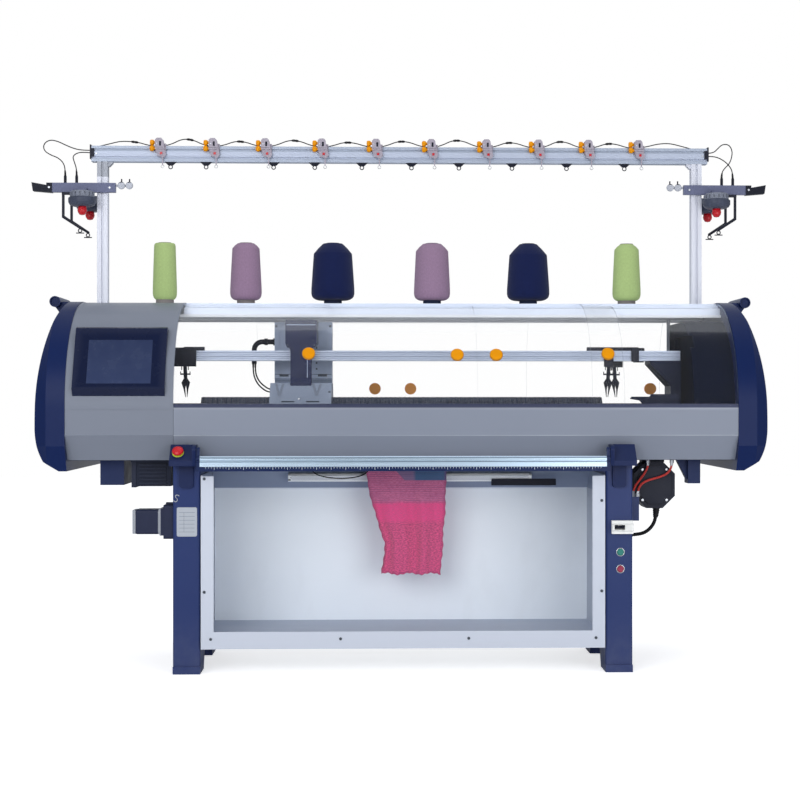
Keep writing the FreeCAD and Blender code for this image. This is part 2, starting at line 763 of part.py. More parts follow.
def make_table():
    """The yarn table: a folded sheet with ledges under the covers' tracks and a raised deck."""
    w = table_sheet
    front_edge = front_arc_d + 9.0
    rear_edge = rear_arc_d - 9.0
    front_lip = front_arc_d - 84.0
    rear_lip = rear_arc_d + 62.0
    points = [(front_lip, ledge_z - 10), (front_lip, ledge_z), (front_edge, ledge_z),
              (front_edge, deck_z), (rear_edge, deck_z), (rear_edge, ledge_z),
              (rear_lip, ledge_z), (rear_lip, ledge_z - 10), (rear_lip - w, ledge_z - 10),
              (rear_lip - w, ledge_z - w), (rear_edge - w, ledge_z - w),
              (rear_edge - w, deck_z - w), (front_edge + w, deck_z - w),
              (front_edge + w, ledge_z - w), (front_lip + w, ledge_z - w),
              (front_lip + w, ledge_z - 10)]
    return side_prism(points, -inner_x, inner_x)


# ---------------------------------------------------------------- control screen
screen_x = -985.0
bezel_width = 318.0
bezel_top = (100.0, 1197.0)
bezel_foot = (2.0, 962.0)
bezel_rise = 30.0
bezel_lip = 17.0             # height of its slanted lower edge
screen_width = 222.0
screen_height = 166.0
screen_lift = -8.0           # the screen's middle, above the bezel's middle
screen_recess = 3.0


def bezel_frame():
    """The bezel's foot, its direction up the slope and its outward direction, as (d, z)."""
    run = bezel_top[0] - bezel_foot[0]
    rise = bezel_top[1] - bezel_foot[1]
    length = math.hypot(run, rise)
    return length, (run / length, rise / length), (-rise / length, run / length)


def bezel_place(up, out):
    length, slope, normal = bezel_frame()
    return (bezel_foot[0] + slope[0] * up + normal[0] * out,
            bezel_foot[1] + slope[1] * up + normal[1] * out)


def make_bezel():
    """The screen's frame, seated on the curved cover, with a slanted lower edge."""
    length = bezel_frame()[0]
    outline = [bezel_place(0, -30), bezel_place(0, 6), bezel_place(bezel_lip, bezel_rise),
               bezel_place(length - 8, bezel_rise), bezel_place(length, bezel_rise - 9),
               bezel_place(length, -30)]
    half = bezel_width / 2
    bezel = side_prism(outline, screen_x - half, screen_x + half)
    seat = rod(cover_radius + cover_fit + 2, bezel_width + 40,
               Vec(screen_x - half - 20, at(front_arc_d), cover_foot_z), X_AXIS)
    bezel = bezel.cut(seat)
    return bezel.cut(screen_block(0.0, 6.0))


def screen_block(fit, over):
    length = bezel_frame()[0]
    middle = length / 2 + screen_lift
    low, high = middle - screen_height / 2 + fit, middle + screen_height / 2 - fit
    outline = [bezel_place(low, bezel_rise - screen_recess), bezel_place(low, bezel_rise + over),
               bezel_place(high, bezel_rise + over),
               bezel_place(high, bezel_rise - screen_recess)]
    half = screen_width / 2 - fit
    return side_prism(outline, screen_x - half, screen_x + half)


# ---------------------------------------------------------------- fabric bin
def make_bin():
    """The folded sheet bin: floor, back, leaning upper panel, side walls and front lip."""
    w = bin_sheet
    half = leg_inner - bin_clear
    shoulder_d = bin_back - bin_shoulder_in
    back = side_prism([(0, bin_floor_z), (bin_back, bin_floor_z), (bin_back, bin_shoulder_z),
                       (shoulder_d, bin_top_z), (shoulder_d + w, bin_top_z + w),
                       (bin_back + w, bin_shoulder_z + w), (bin_back + w, bin_floor_z - w),
                       (0, bin_floor_z - w)], -half + w, half - w)
    lip = side_prism([(-w, bin_lip_top_z), (0, bin_lip_top_z), (0, bin_lip_bottom_z + w),
                      (30, bin_lip_bottom_z + w), (30, bin_lip_bottom_z), (-w, bin_lip_bottom_z)],
                     -half, half)
    pieces = [back, lip]
    for side in (-1, 1):
        x0, x1 = sorted((side * (half - w), side * half))
        pieces.append(side_prism([(0, bin_floor_z - w), (bin_back + w, bin_floor_z - w),
                                  (bin_back + w, bin_shoulder_z + w),
                                  (shoulder_d + w, bin_top_z + w), (0, bin_top_z + w)], x0, x1))
        # folded front edge and the flange that is screwed to the leg
        f0, f1 = sorted((side * (half - bin_return), side * half))
        pieces.append(block(f0, f1, -w, 0, bin_lip_bottom_z, bin_top_z))
        g0, g1 = sorted((side * (half - w), side * leg_inner))
        pieces.append(block(g0, g1, 30, 60, 250, 320))
        pieces.append(block(g0, g1, 380, 410, 250, 320))
    return joined(pieces)


def make_lamp():
    """The work lamp: an aluminium channel with its diffuser, fixed to the bin's upper panel."""
    shoulder_d = bin_back - bin_shoulder_in
    rise = bin_shoulder_z - bin_top_z
    def on_panel(z):
        return shoulder_d + (z - bin_top_z) * bin_shoulder_in / rise
    low, high = lamp_z, lamp_z + lamp_section
    outline = [(on_panel(low), low), (on_panel(high), high), (on_panel(high) - 24, high - 3),
               (on_panel(high) - 30, high - 10), (on_panel(high) - 20, low + 3),
               (on_panel(high) - 10, low)]
    return side_prism(outline, lamp_x - lamp_width / 2, lamp_x + lamp_width / 2)


# ---------------------------------------------------------------- rollers
def make_roller(middle_d, radius):
    half = leg_inner - 1.0
    profile = [(0, -half - journal_depth), (journal_radius, -half - journal_depth),
               (journal_radius, -half), (radius, -half + 6), (radius, half - 6),
               (journal_radius, half), (journal_radius, half + journal_depth),
               (0, half + journal_depth)]
    roller = turned(profile, Vec(0, 0, 0))
    roller.rotate(Vec(0, 0, 0), Y_AXIS, 90)
    roller.translate(Vec(0, at(middle_d), roller_z))
    return roller


# ---------------------------------------------------------------- knitted panel
def make_knit():
    """The knitted panel as it hangs from the rollers: lofted through wavy sections."""
    levels = ((gap_z - 8, -134.0, 163.0, 0.0), (roller_z - 7, -134.0, 163.0, 0.0),
              (684.0, -132.0, 162.0, 2.0),
              (625.0, -123.0, 160.0, 7.0), (513.0, -93.0, 154.0, 13.0),
              (431.0, -64.0, 148.0, 15.0), (357.0, -70.0, 144.0, 14.0),
              (314.0, -76.0, 140.0, 12.0))
    folds = 12
    sections = []
    for z, left, right, wave in levels:
        front, back = [], []
        for step in range(folds + 1):
            share = step / folds
            x = left + (right - left) * share
            swing = wave * math.sin(2 * math.pi * 2.3 * share + 0.6)
            swing += 0.35 * wave * math.sin(2 * math.pi * 4.1 * share)
            y = at(gap_depth) + swing - 0.2 * wave
            front.append(Vec(x, y - knit_thick / 2, z))
            back.append(Vec(x, y + knit_thick / 2, z))
        ring = front + back[::-1]
        sections.append(Part.makePolygon(ring + ring[:1]))
    return Part.makeLoft(sections, True, True)


# ---------------------------------------------------------------- feeder rails and feeders
def make_rails():
    """Two grooved rails for the yarn feeders, with a stop block at the right end."""
    rails = []
    for side in (-1, 1):
        middle = gap_depth + side * rail_offset
        h, w, g = rail_height / 2, rail_wall / 2, groove
        half = [(-w, -h), (-w, -h + 6), (-w + g, -h + 9), (-w + g, -h + 13), (-w, -h + 16),
                (-w, h - 16), (-w + g, h - 13), (-w + g, h - 9), (-w, h - 6), (-w, h)]
        other = [(-a, b) for a, b in reversed(half)]
        outline = [(middle + a, rail_mid_z + b) for a, b in half + other]
        rails.append(side_prism(outline, rail_left, rail_right))
    stop_left = rail_right - bracket_length - 66
    front = gap_depth - rail_offset + rail_wall / 2
    rear = gap_depth + rail_offset - rail_wall / 2
    rails.append(block(stop_left, stop_left + 54, front, rear, rail_mid_z - 10, rail_mid_z + 12))
    return group(rails)


def make_feeder(index):
    """A yarn feeder: a saddle on its rail and a slender finger down to the needle gap."""
    side = feeder_rail[index]
    x, half = feeder_x[index], feeder_width[index] / 2
    face = rail_wall / 2 + feeder_fit
    top = rail_top_z + feeder_fit
    bottom = rail_mid_z - rail_height / 2 - feeder_skirt
    middle = gap_depth + side * rail_offset

    def place(out, z):
        return (middle + side * out, z)

    saddle = side_prism([place(face, bottom), place(face + feeder_plate, bottom),
                         place(face + feeder_plate, top + 6), place(face + feeder_plate - 4, top + 10),
                         place(-face - 4, top + 10), place(-face - 4, top - 5),
                         place(-face, top - 5), place(-face, top), place(face, top)],
                        x - half, x + half)
    # the finger leans from the saddle in to the gap
    w = finger_width / 2
    outline = [(x - w, 0), (x + w, 0), (x + w, -50), (x + w + 9, -66), (x + w + 2, -92),
               (x + w - 3, -finger_length), (x + 2, -finger_length), (x + w - 4, -90), (x, -76),
               (x - w + 4, -90), (x - 2, -finger_length), (x - w + 3, -finger_length),
               (x - w - 2, -92), (x - w - 9, -66), (x - w, -50)]
    thick = 4.0
    corners = [Vec(a, -thick / 2, b) for a, b in outline]
    finger = Part.Face(Part.makePolygon(corners + corners[:1])).extrude(Vec(0, thick, 0))
    # a cross bar with upturned hooks on the finger's neck
    hooks = [(x - w - 12, -24), (x - w - 9, -24), (x - w - 9, -31), (x + w + 9, -31),
             (x + w + 9, -24), (x + w + 12, -24), (x + w + 12, -36), (x - w - 12, -36)]
    corners = [Vec(a, -thick / 2 + 0.5, b) for a, b in hooks]
    cross = Part.Face(Part.makePolygon(corners + corners[:1])).extrude(Vec(0, thick - 1, 0))
    finger = finger.fuse(cross)
    reach = rail_offset + face + feeder_plate / 2 - 8
    lean = math.degrees(math.atan2(reach, finger_length))
    finger.rotate(Vec(0, 0, 0), X_AXIS, -side * lean)
    start = place(face + feeder_plate / 2, bottom + 4)
    finger.translate(Vec(0, at(start[0]), start[1]))
    # flat bar along the rail's top, with a second saddle at its far end
    left, right, end = feeder_bar[index]
    bar = side_prism([place(-face - 2, top), place(-face - 2, top + 10), place(0, top + 13),
                      place(face + 4, top + 10), place(face + 4, top)], left, right)
    pieces = [saddle, finger, bar]
    if end:
        pieces.append(side_prism([place(face, bottom + 18), place(face + feeder_plate, bottom + 18),
                                  place(face + feeder_plate, top + 6), place(face, top + 6)],
                                 right - end, right))
    # thin guide wires beside the finger's neck
    for offset in (-12.0, 12.0):
        wire = rod(1.6, 16, Vec(x + offset, at(start[0]), bottom + 3), Vec(0, 0, -1))
        pieces.append(wire)
    return joined(pieces)


# ---------------------------------------------------------------- carriage
def cam_outline(side, rise):
    return [bed_point(side, cam_start, cam_lift + needle_height * 2 + 1),
            bed_point(side, cam_end, cam_lift + needle_height * 2 + 1),
            bed_point(side, cam_end, rise - 34), bed_point(side, cam_end - 26, rise - 6),
            bed_point(side, cam_end - 34, rise), bed_point(side, cam_start + 22, rise),
            bed_point(side, cam_start, rise - 22)]


def make_cam_covers():
    """The grey cam covers over both beds, with slots and pressed wedges in the front one."""
    half = cam_cover_width / 2
    covers = []
    for side in (-1, 1):
        cover = side_prism(cam_outline(side, cam_cover_rise), carriage_x - half,
                           carriage_x + half)
        slot_z = bed_point(side, 0, 0)[1]
        for middle in (-44.0, 44.0):
            for drop in (14.0, 28.0):
                low = bed_point(side, cam_end - 34 - 26, cam_cover_rise)
                slot = block(carriage_x + middle - 23, carriage_x + middle + 23, -40, 40,
                             low[1] - drop, low[1] - drop + 4)
                slot.translate(Vec(0, low[0] - 40 if side > 0 else low[0], 0))
                cover = cover.cut(slot)
        covers.append(cover)
    return group(covers)


def make_tower():
    """The carriage's rear tower, standing on the rear cam cover, with ribs on its front face."""
    half = carriage_width / 2
    x0, x1 = carriage_x - half, carriage_x + half
    back = tower_front + tower_depth
    # its foot follows the slope of the rear cam cover
    foot = []
    for along in (cam_start + 22, cam_end - 34):
        foot.append(bed_point(1, along, cam_cover_rise))
    slope = (foot[1][1] - foot[0][1]) / (foot[1][0] - foot[0][0])
    def foot_z(d):
        return foot[0][1] + (d - foot[0][0]) * slope
    body = side_prism([(tower_front, foot_z(tower_front)), (back, foot_z(back)),
                       (back, bridge_top_z - 12), (back - 12, bridge_top_z),
                       (tower_front, bridge_top_z)], x0, x1)
    for x in (x0 + 18, x1 - 52):
        for z0, z1 in ((1030, 1080), (1140, 1215)):
            panel = block(x, x + 34, tower_front, tower_front + 3, z0, z1)
            body = body.cut(panel)
    # belt clamp reaching back and down to the belt
    top_run = pulley_z + pulley_radius + belt_fit + belt_wall
    clamp = side_prism([(back, top_run + 62), (back, top_run + 110), (belt_depth - 24, top_run + 40),
                        (belt_depth - 24, top_run + belt_fit),
                        (belt_depth - 32, top_run + belt_fit)], carriage_x - 40, carriage_x + 40)
    shoe = block(carriage_x - 40, carriage_x + 40, belt_depth - 32, belt_depth + belt_width / 2 + 4,
                 top_run + belt_fit, top_run + belt_fit + 10)
    # moulded elbow for the cables, with a collar and a clamp ring
    y = at(tower_front + elbow_back)
    turn_x = x0 - elbow_out + elbow_bend
    out = rod(elbow_radius, x0 - turn_x + 1, Vec(turn_x, y, elbow_z), X_AXIS)
    ring = Part.Face(Part.Wire(Part.makeCircle(elbow_radius, Vec(turn_x, y, elbow_z), X_AXIS)))
    bend = ring.revolve(Vec(turn_x, y, elbow_z - elbow_bend), Y_AXIS, -90)
    drop = rod(elbow_radius, elbow_z - elbow_bend - elbow_foot_z,
               Vec(x0 - elbow_out, y, elbow_foot_z), Z_AXIS)
    collar = rod(elbow_radius + 4, 9, Vec(x0 - 8, y, elbow_z), X_AXIS)
    clasp = rod(elbow_radius + 3, 12, Vec(turn_x + 8, y, elbow_z), X_AXIS)
    return joined([body, clamp, shoe, out, bend, drop, collar, clasp])


def make_arm():
    """The bridging arm: a wide head over the rails and a stem down to the front cam cover."""
    head = arm_head_width / 2
    stem = arm_stem_width / 2
    z = bridge_top_z
    under = rail_top_z + 26
    back = arm_front + arm_wall
    # from the side: a hook over the rails
    foot = arm_foot_z
    hook = side_prism([(arm_front - 24, foot - 5), (arm_front - 26, foot),
                       (arm_front - 4, foot + 28), (arm_front, foot + 40), (arm_front, z - 14),
                       (arm_front + 14, z), (tower_front, z), (tower_front, under),
                       (back, under), (back, foot - 5)], carriage_x - head, carriage_x + head)
    # from the front: head with notched corners, stem with rounded foot
    low_head = z - arm_head_height
    outline = front_prism([(carriage_x - head, z), (carriage_x + head, z),
                           (carriage_x + head, low_head + 16), (carriage_x + head - 6, low_head),
                           (carriage_x + stem + 4, low_head), (carriage_x + stem, low_head - 10),
                           (carriage_x + stem, arm_foot_z + 14), (carriage_x + stem - 12, arm_foot_z),
                           (carriage_x + stem - 12, arm_foot_z - 20),
                           (carriage_x - stem + 12, arm_foot_z - 20),
                           (carriage_x - stem + 12, arm_foot_z), (carriage_x - stem, arm_foot_z + 14),
                           (carriage_x - stem, low_head - 10), (carriage_x - stem - 4, low_head),
                           (carriage_x - head + 6, low_head), (carriage_x - head, low_head + 16)],
                          arm_front - 10, tower_front + 10)
    arm = hook.common(outline)
    cam = side_prism(cam_outline(-1, cam_cover_rise), carriage_x - head, carriage_x + head)
    return arm.cut(cam)


def make_carriage_hose():
    """Two cables from the elbow down to the left side of the rear cam cover."""
    drop = carriage_x - carriage_width / 2 - elbow_out
    side = carriage_x - cam_cover_width / 2
    y = at(tower_front + elbow_back)
    z = elbow_foot_z
    left = [(drop - 4, y, z), (drop - 4, y, z - 26), (drop + 1, y - 3, z - 52),
            (drop + 14, y - 8, z - 76), (drop + 34, y - 15, z - 95), (drop + 55, y - 20, z - 106),
            (side, y - 20, z - 106)]
    right = [(drop + 4, y, z), (drop + 4, y, z - 24), (drop + 9, y - 4, z - 48),
             (drop + 22, y - 11, z - 69), (drop + 42, y - 20, z - 86), (drop + 60, y - 27, z - 96),
             (side, y - 27, z - 96)]
    return group([tube("carriage_cable_1", left, cable_diameter, 6),
                  tube("carriage_cable_2", right, cable_diameter, 6)])


# ---------------------------------------------------------------- belt drive
def make_pulley(x):
    """A toothed pulley with flanges, on its shaft stub."""
    y = belt_depth
    wheel = rod(pulley_radius, pulley_width, Vec(x, at(y - pulley_width / 2), pulley_z), Y_AXIS)
    flange = pulley_radius + belt_wall - 1
    for d in (y - pulley_width / 2 - 3, y + pulley_width / 2):
        wheel = wheel.fuse(rod(flange, 3, Vec(x, at(d), pulley_z), Y_AXIS))
    for step in range(8):
        angle = math.pi / 4 * step
        hole = rod(6, 60, Vec(x + 25 * math.cos(angle), at(y - 30), pulley_z + 25 * math.sin(angle)),
                   Y_AXIS)
        wheel = wheel.cut(hole)
    shaft = rod(pulley_bore, 46, Vec(x, at(y - pulley_width / 2 - 40), pulley_z), Y_AXIS)
    return joined([wheel, shaft])


def make_belt():
    inner = pulley_radius + belt_fit
    outer = inner + belt_wall

    def loop(radius):
        d = at(belt_depth - belt_width / 2)
        x, z = pulley_x, pulley_z
        edges = [Part.LineSegment(Vec(-x, d, z + radius), Vec(x, d, z + radius)),
                 Part.Arc(Vec(x, d, z + radius), Vec(x + radius, d, z), Vec(x, d, z - radius)),
                 Part.LineSegment(Vec(x, d, z - radius), Vec(-x, d, z - radius)),
                 Part.Arc(Vec(-x, d, z - radius), Vec(-x - radius, d, z), Vec(-x, d, z + radius))]
        return Part.Face(Part.Wire([edge.toShape() for edge in edges]))

    ring = loop(outer).cut(loop(inner))
    return ring.extrude(Vec(0, belt_width, 0))


def make_pulley_posts():
    """Bearing posts for both pulleys, standing on the tray."""
    posts = []
    for x in (-pulley_x, pulley_x):
        front = belt_depth - pulley_width / 2 - 40
        post = block(x - 30, x + 30, front, front + 26, tray_z + sheet_wall, pulley_z + 30)
        bore = rod(pulley_bore + journal_fit, 80, Vec(x, at(front - 20), pulley_z), Y_AXIS)
        posts.append(post.cut(bore))
    return posts


# ---------------------------------------------------------------- start bar and brackets
bar_front = -bar_reach


def make_start_bar():
    """The start bar: a grooved hand rail hung from a lug at each end, with its scale strip."""
    low = bar_top_z - bar_height
    back = bar_front + bar_section
    rail = side_prism([(bar_front + 5, bar_top_z), (bar_front, bar_top_z - 5),
                       (bar_front, bar_top_z - 13), (bar_front + 3, bar_top_z - 15),
                       (bar_front + 3, bar_top_z - 19), (bar_front, bar_top_z - 21),
                       (bar_front, low), (bar_front + 2, low), (bar_front + 2, low - strip_height),
                       (bar_front + 8, low - strip_height), (bar_front + 8, low),
                       (back, low), (back, bar_top_z)], -bar_half, bar_half)
    pieces = [rail]
    for side in (-1, 1):
        x0, x1 = sorted((side * (bar_half - lug_thick), side * bar_half))
        lug = block(x0, x1, bar_front + 4, back, bar_top_z, pivot_z)
        eye = rod(10.0, lug_thick, Vec(x0, at(bar_front + bar_section / 2 + 2), pivot_z), X_AXIS)
        pieces += [lug, eye]
    whole = joined(pieces)
    for side in (-1, 1):
        start = Vec(side * (bar_half + 1), at(bar_front + bar_section / 2 + 2), pivot_z)
        whole = whole.cut(rod(pivot_radius + pivot_fit, lug_thick + 2, start, Vec(-side, 0, 0)))
    return whole


def make_brackets():
    """The two brackets on the legs' fronts that carry the start bar."""
    brackets = []
    for side in (-1, 1):
        near = bar_half + lug_gap
        far = near + bracket_width
        x0, x1 = sorted((side * near, side * far))
        middle = side * (leg_inner + leg_width / 2)
        stem0, stem1 = middle - bracket_stem / 2, middle + bracket_stem / 2
        # a sloping head, with an upright ear beside it for the bar's pivot
        low = bracket_bottom_z + 78
        top = pivot_z + 18
        slope = (skirt_front - 1) - (bar_front + 2)
        head = side_prism([(bar_front + 2, low), (bar_front + 2, top - slope), (skirt_front - 1, top),
                           (skirt_front - 1, frame_bottom_z), (leg_front, frame_bottom_z - 3),
                           (leg_front, low)], x0, x1)
        e0, e1 = sorted((side * near, side * (near + ear_thick)))
        ear_d = bar_front + bar_section / 2 + 2
        ear = rod(ear_radius, ear_thick, Vec(e0, at(ear_d), pivot_z), X_AXIS)
        web = side_prism([(ear_d - ear_radius, pivot_z), (ear_d, pivot_z + ear_radius),
                          (skirt_front - 1, top), (skirt_front - 1, low), (bar_front + 2, low)],
                         e0, e1)
        stem = front_prism([(stem0, bracket_bottom_z + 78), (stem1, bracket_bottom_z + 78),
                            (stem1, bracket_bottom_z + 8), (stem1 - 8, bracket_bottom_z),
                            (stem0 + 8, bracket_bottom_z), (stem0, bracket_bottom_z + 8)],
                           leg_front - 12, leg_front)
        pin = rod(pivot_radius, lug_thick + lug_gap - 1,
                  Vec(side * near, at(bar_front + bar_section / 2 + 2), pivot_z), Vec(-side, 0, 0))
        bracket = joined([head, stem, pin, ear, web])
        if side < 0:
            d, z = stop_place(2.0)
            well = rod(mushroom_neck + button_fit, 30, Vec(stop_x, at(d), z), Vec(0, 1, -1))
            bracket = bracket.cut(well)
        brackets.append(bracket)
    return group(brackets)


stop_x = -(bar_half + lug_gap + stop_inset)


def stop_place(out):
    """A (d, z) place on the stop button's axis, at right angles to the bracket's sloping face."""
    down = pivot_z + 18 - stop_z
    return (skirt_front - 1 - down - out * COS45, stop_z + out * COS45)


def make_stop_button():
    """The mushroom push button on the left bracket's sloping face."""
    r = mushroom_radius
    profile = [(0, -18), (mushroom_neck, -18), (mushroom_neck, 5), (r - 3, 6), (r, 9),
               (r - 1.5, 14), (r - 7, 17.5), (0, 19)]
    d, z = stop_place(0.0)
    return turned(profile, Vec(stop_x, at(d), z), 45)


def make_button(z):
    """A flush push button in the right leg."""
    r = button_radius
    profile = [(0, -14), (r, -14), (r, button_out - 1.5), (r - 1.5, button_out), (0, button_out)]
    return turned(profile, Vec(button_x, at(leg_front), z), 90)


def make_breaker():
    """The circuit breaker on the right leg: stepped front with a window for its lever."""
    d0 = leg_front - breaker_depth
    x0, x1 = breaker_x - breaker_width / 2, breaker_x + breaker_width / 2
    z0, z1 = breaker_z - breaker_height / 2, breaker_z + breaker_height / 2
    body = side_prism([(leg_front, z0), (d0 + 12, z0), (d0 + 12, z0 + 10), (d0, z0 + 12),
                       (d0, z1 - 12), (d0 + 12, z1 - 10), (d0 + 12, z1), (leg_front, z1)], x0, x1)
    middle = breaker_x + lever_shift
    window = block(middle - 14, middle + 22, d0 - 2, d0 + 16, breaker_z - 9, breaker_z + 9)
    body = body.cut(window)
    pivot = rod(2.0, 40, Vec(middle - 16, at(d0 + 8), breaker_z), X_AXIS)
    return body.fuse(pivot)


def make_breaker_lever():
    """Two toggles on one bar, on the breaker's pivot pin."""
    d0 = leg_front - breaker_depth
    middle = breaker_x + lever_shift
    hub = rod(5.0, 34, Vec(middle - 13, at(d0 + 8), breaker_z), X_AXIS)
    toggles = []
    for x in (middle - 12, middle + 11):
        toggles.append(side_prism([(d0 + 6, breaker_z - 4), (d0 + 6, breaker_z + 4),
                                   (d0 - 9, breaker_z + 3), (d0 - 9, breaker_z - 3)], x, x + 9))
    lever = joined([hub] + toggles)
    lever = lever.cut(rod(2.0 + pivot_fit, 60, Vec(middle - 30, at(d0 + 8), breaker_z), X_AXIS))
    lever.rotate(Vec(0, at(d0 + 8), breaker_z), X_AXIS, -breaker_rise)
    return lever


# ---------------------------------------------------------------- motors and under-bed pieces
def make_take_down_motor():
    """Square motor with its gearbox, bolted to the left leg's outer wall."""
    x = -leg_outer
    d = leg_front + 62
    z = take_down_z
    h = motor_size / 2
    gear = block(x - 34, x, d - h - 6, d + h + 6, z - 59, z + 59)
    gear = rounded(gear, 8, lambda e: abs(e.Length - 34) < 0.01)
    flange = block(x - 48, x - 34, d - h - 4, d + h + 4, z - h - 4, z + h + 4)
    body = block(x - 48 - motor_length, x - 48, d - h, d + h, z - h, z + h)
    body = rounded(body, 9, lambda e: abs(e.Length - motor_length) < 0.01)
    cap = block(x - 48 - motor_length - 14, x - 48 - motor_length, d - h + 2, d + h - 2,
                z - h + 2, z + h - 2)
    plug = block(x - 30, x - 6, d - 14, d + 14, z + 58, z + 66)
    return joined([gear, flange, body, cap, plug])


def make_main_motor():
    """The servo motor under the left end, in a plate cage, with cooling ribs."""
    x0 = main_motor_x - main_motor_length / 2
    x1 = x0 + main_motor_length
    z1 = frame_bottom_z - 6
    z0 = z1 - motor_size
    body = block(x0 + 16, x1, 130, 130 + motor_size, z0, z1)
    ribs = []
    for step in range(6):
        z = z0 + 8 + step * 13
        ribs.append(block(x0 + 26, x1 - 16, 124, 130, z, z + 5))
    end = block(x0, x0 + 16, 126, 134 + motor_size, z0 - 4, z1)
    plate = block(x0, x1, 112, 152 + motor_size, z1, frame_bottom_z)
    return joined([body, end, plate] + ribs)


def make_racking_drive():
    """The eight-sided black drive housing under the right end."""
    w, h, c = octagon_width / 2, octagon_height / 2, 44.0
    x, z = octagon_x, octagon_z
    outline = [(x - w, z - h + c), (x - w + c, z - h), (x + w - c, z - h), (x + w, z - h + c),
               (x + w, z + h - c), (x + w - c, z + h), (x - w + c, z + h), (x - w, z + h - c)]
    body = front_prism(outline, 120, 120 + octagon_depth)
    lid = front_prism([(x + (a - x) * 0.8, z + (b - z) * 0.8) for a, b in outline], 112, 120)
    neck = block(x - 40, x + 40, 150, 210, z + h - 4, frame_bottom_z)
    return joined([body, lid, neck])


def hose_route(start, foot, profile):
    """Points of a hose between two upright ends: profile gives (share of the way across, z)."""
    points = []
    for share, z in profile:
        across = [(1 - share) * a + share * b for a, b in zip(start, foot)]
        points.append((across[0], at(across[1]), z))
    return points


def make_service_lines():
    """Two air hoses and the cable bundle at the right end, and the lead of the work lamp."""
    top = frame_bottom_z
    plate_x = leg_outer + 17
    first = hose_route((955, 104), (plate_x + 12, 78),
                       [(0, top), (0, top - 20), (0.06, top - 38), (0.167, top - 51),
                        (0.394, top - 62), (0.622, top - 68), (0.83, top - 78),
                        (0.939, top - 91), (1, top - 109), (1, valve_top_z)])
    second = hose_route((870, 104), (plate_x - 4, 79),
                        [(0, top), (0, top - 20), (0.13, top - 39), (0.483, top - 65),
                         (0.87, top - 90), (1, top - 109), (1, valve_top_z)])
    drop = octagon_x + 16
    box_foot = octagon_z - octagon_height / 2
    bundle = [(drop, at(180), box_foot), (drop, at(180), box_foot - 42),
              (drop - 21, at(180), box_foot - 79), (drop - 58, at(180), box_foot - 100),
              (leg_outer - 2.5, at(180), box_foot - 100)]
    lamp_lead = [(-330, at(140), top), (-330, at(140), top - 27), (-314, at(139), top - 49),
                 (-282, at(137), top - 60), (-246, at(136), top - 65), (-208, at(135), top - 66),
                 (-170, at(136), top - 62), (-136, at(138), top - 52), (-116, at(140), top - 29),
                 (-116, at(140), top)]
    return group([tube("air_hose_1", first, air_hose_diameter),
                  tube("air_hose_2", second, air_hose_diameter),
                  tube("cable_bundle", bundle, bundle_diameter),
                  tube("lamp_lead", lamp_lead, 4.0, 6)])


# ---------------------------------------------------------------- yarn stand
def slotted(size):
    """A square aluminium profile's outline with a slot in each side, as (a, b) points."""
    h = size / 2
    s = post_slot / 2
    g = post_slot_depth
    quarter = [(-h, -h), (-s, -h), (-s, -h + g), (s, -h + g), (s, -h)]
    outline = []
    for turn in range(4):
        c, d = (1, 0, -1, 0)[turn], (0, 1, 0, -1)[turn]
        outline += [(a * c - b * d, a * d + b * c) for a, b in quarter]
    return outline


def make_posts():
    posts = []
    foot = deck_z
    head = top_rail_z - top_rail_height / 2
    for side in (-1, 1):
        x = side * post_x
        y = at(post_depth)
        corners = [Vec(x + a, y + b, foot + 8) for a, b in slotted(post_size)]
        post = Part.Face(Part.makePolygon(corners + corners[:1])).extrude(Vec(0, 0, head - foot - 8))
        base = block(x - 28, x + 28, post_depth - 26, post_depth + 26, foot, foot + 8)
        # gusset under the top rail, towards the middle
        h = post_size / 2
        gusset = front_prism([(x - side * h, head), (x - side * (h + 18), head),
                              (x - side * (h + 18), head - 5), (x - side * (h + 5), head - 18),
                              (x - side * h, head - 18)], post_depth - 14, post_depth + 14)
        posts.append(joined([post, base, gusset]))
    return group(posts)


def make_top_rail():
    """The top rail: an aluminium profile with grooves along its front, back and top."""
    h, w = top_rail_height / 2, post_size / 2
    s, g = post_slot / 2, post_slot_depth
    d, z = post_depth, top_rail_z
    outline = [(-w, -h), (w, -h), (w, -h + 11), (w - g, -h + 11), (w - g, -h + 19), (w, -h + 19),
               (w, h - 19), (w - g, h - 19), (w - g, h - 11), (w, h - 11), (w, h), (s, h),
               (s, h - g), (-s, h - g), (-s, h), (-w, h), (-w, h - 11), (-w + g, h - 11),
               (-w + g, h - 19), (-w, h - 19), (-w, -h + 19), (-w + g, -h + 19),
               (-w + g, -h + 11), (-w, -h + 11)]
    return side_prism([(d + a, z + b) for a, b in outline], -top_rail_half, top_rail_half)




rail_front = post_depth - post_size / 2
rail_top = top_rail_z + top_rail_height / 2
rail_bottom = top_rail_z - top_rail_height / 2


def make_fittings():
    """Black end plates of the top rail and the wire guides with eyelets under it."""
    pieces = []
    for side in (-1, 1):
        x0, x1 = sorted((side * top_rail_half, side * (top_rail_half + 5)))
        w = post_size / 2 + 3
        plate = block(x0, x1, post_depth - w, post_depth + w, rail_bottom + 10, rail_top + 4)
        f0, f1 = sorted((side * top_rail_half, side * (top_rail_half - 12)))
        tab = block(f0, f1, post_depth - w, rail_front, rail_bottom + 18, rail_top - 10)
        pieces.append(plate.fuse(tab))
    for x in guide_x:
        wedge = front_prism([(x - 23, rail_bottom), (x + 23, rail_bottom), (x + 9, rail_bottom - 13),
                             (x - 9, rail_bottom - 13)], rail_front + 4, rail_front + 12)
        ring = Part.makeTorus(7, 1.8, Vec(x, at(rail_front + 8), rail_bottom - 19), Y_AXIS)
        pieces.append(wedge.fuse(ring))
    return group(pieces)


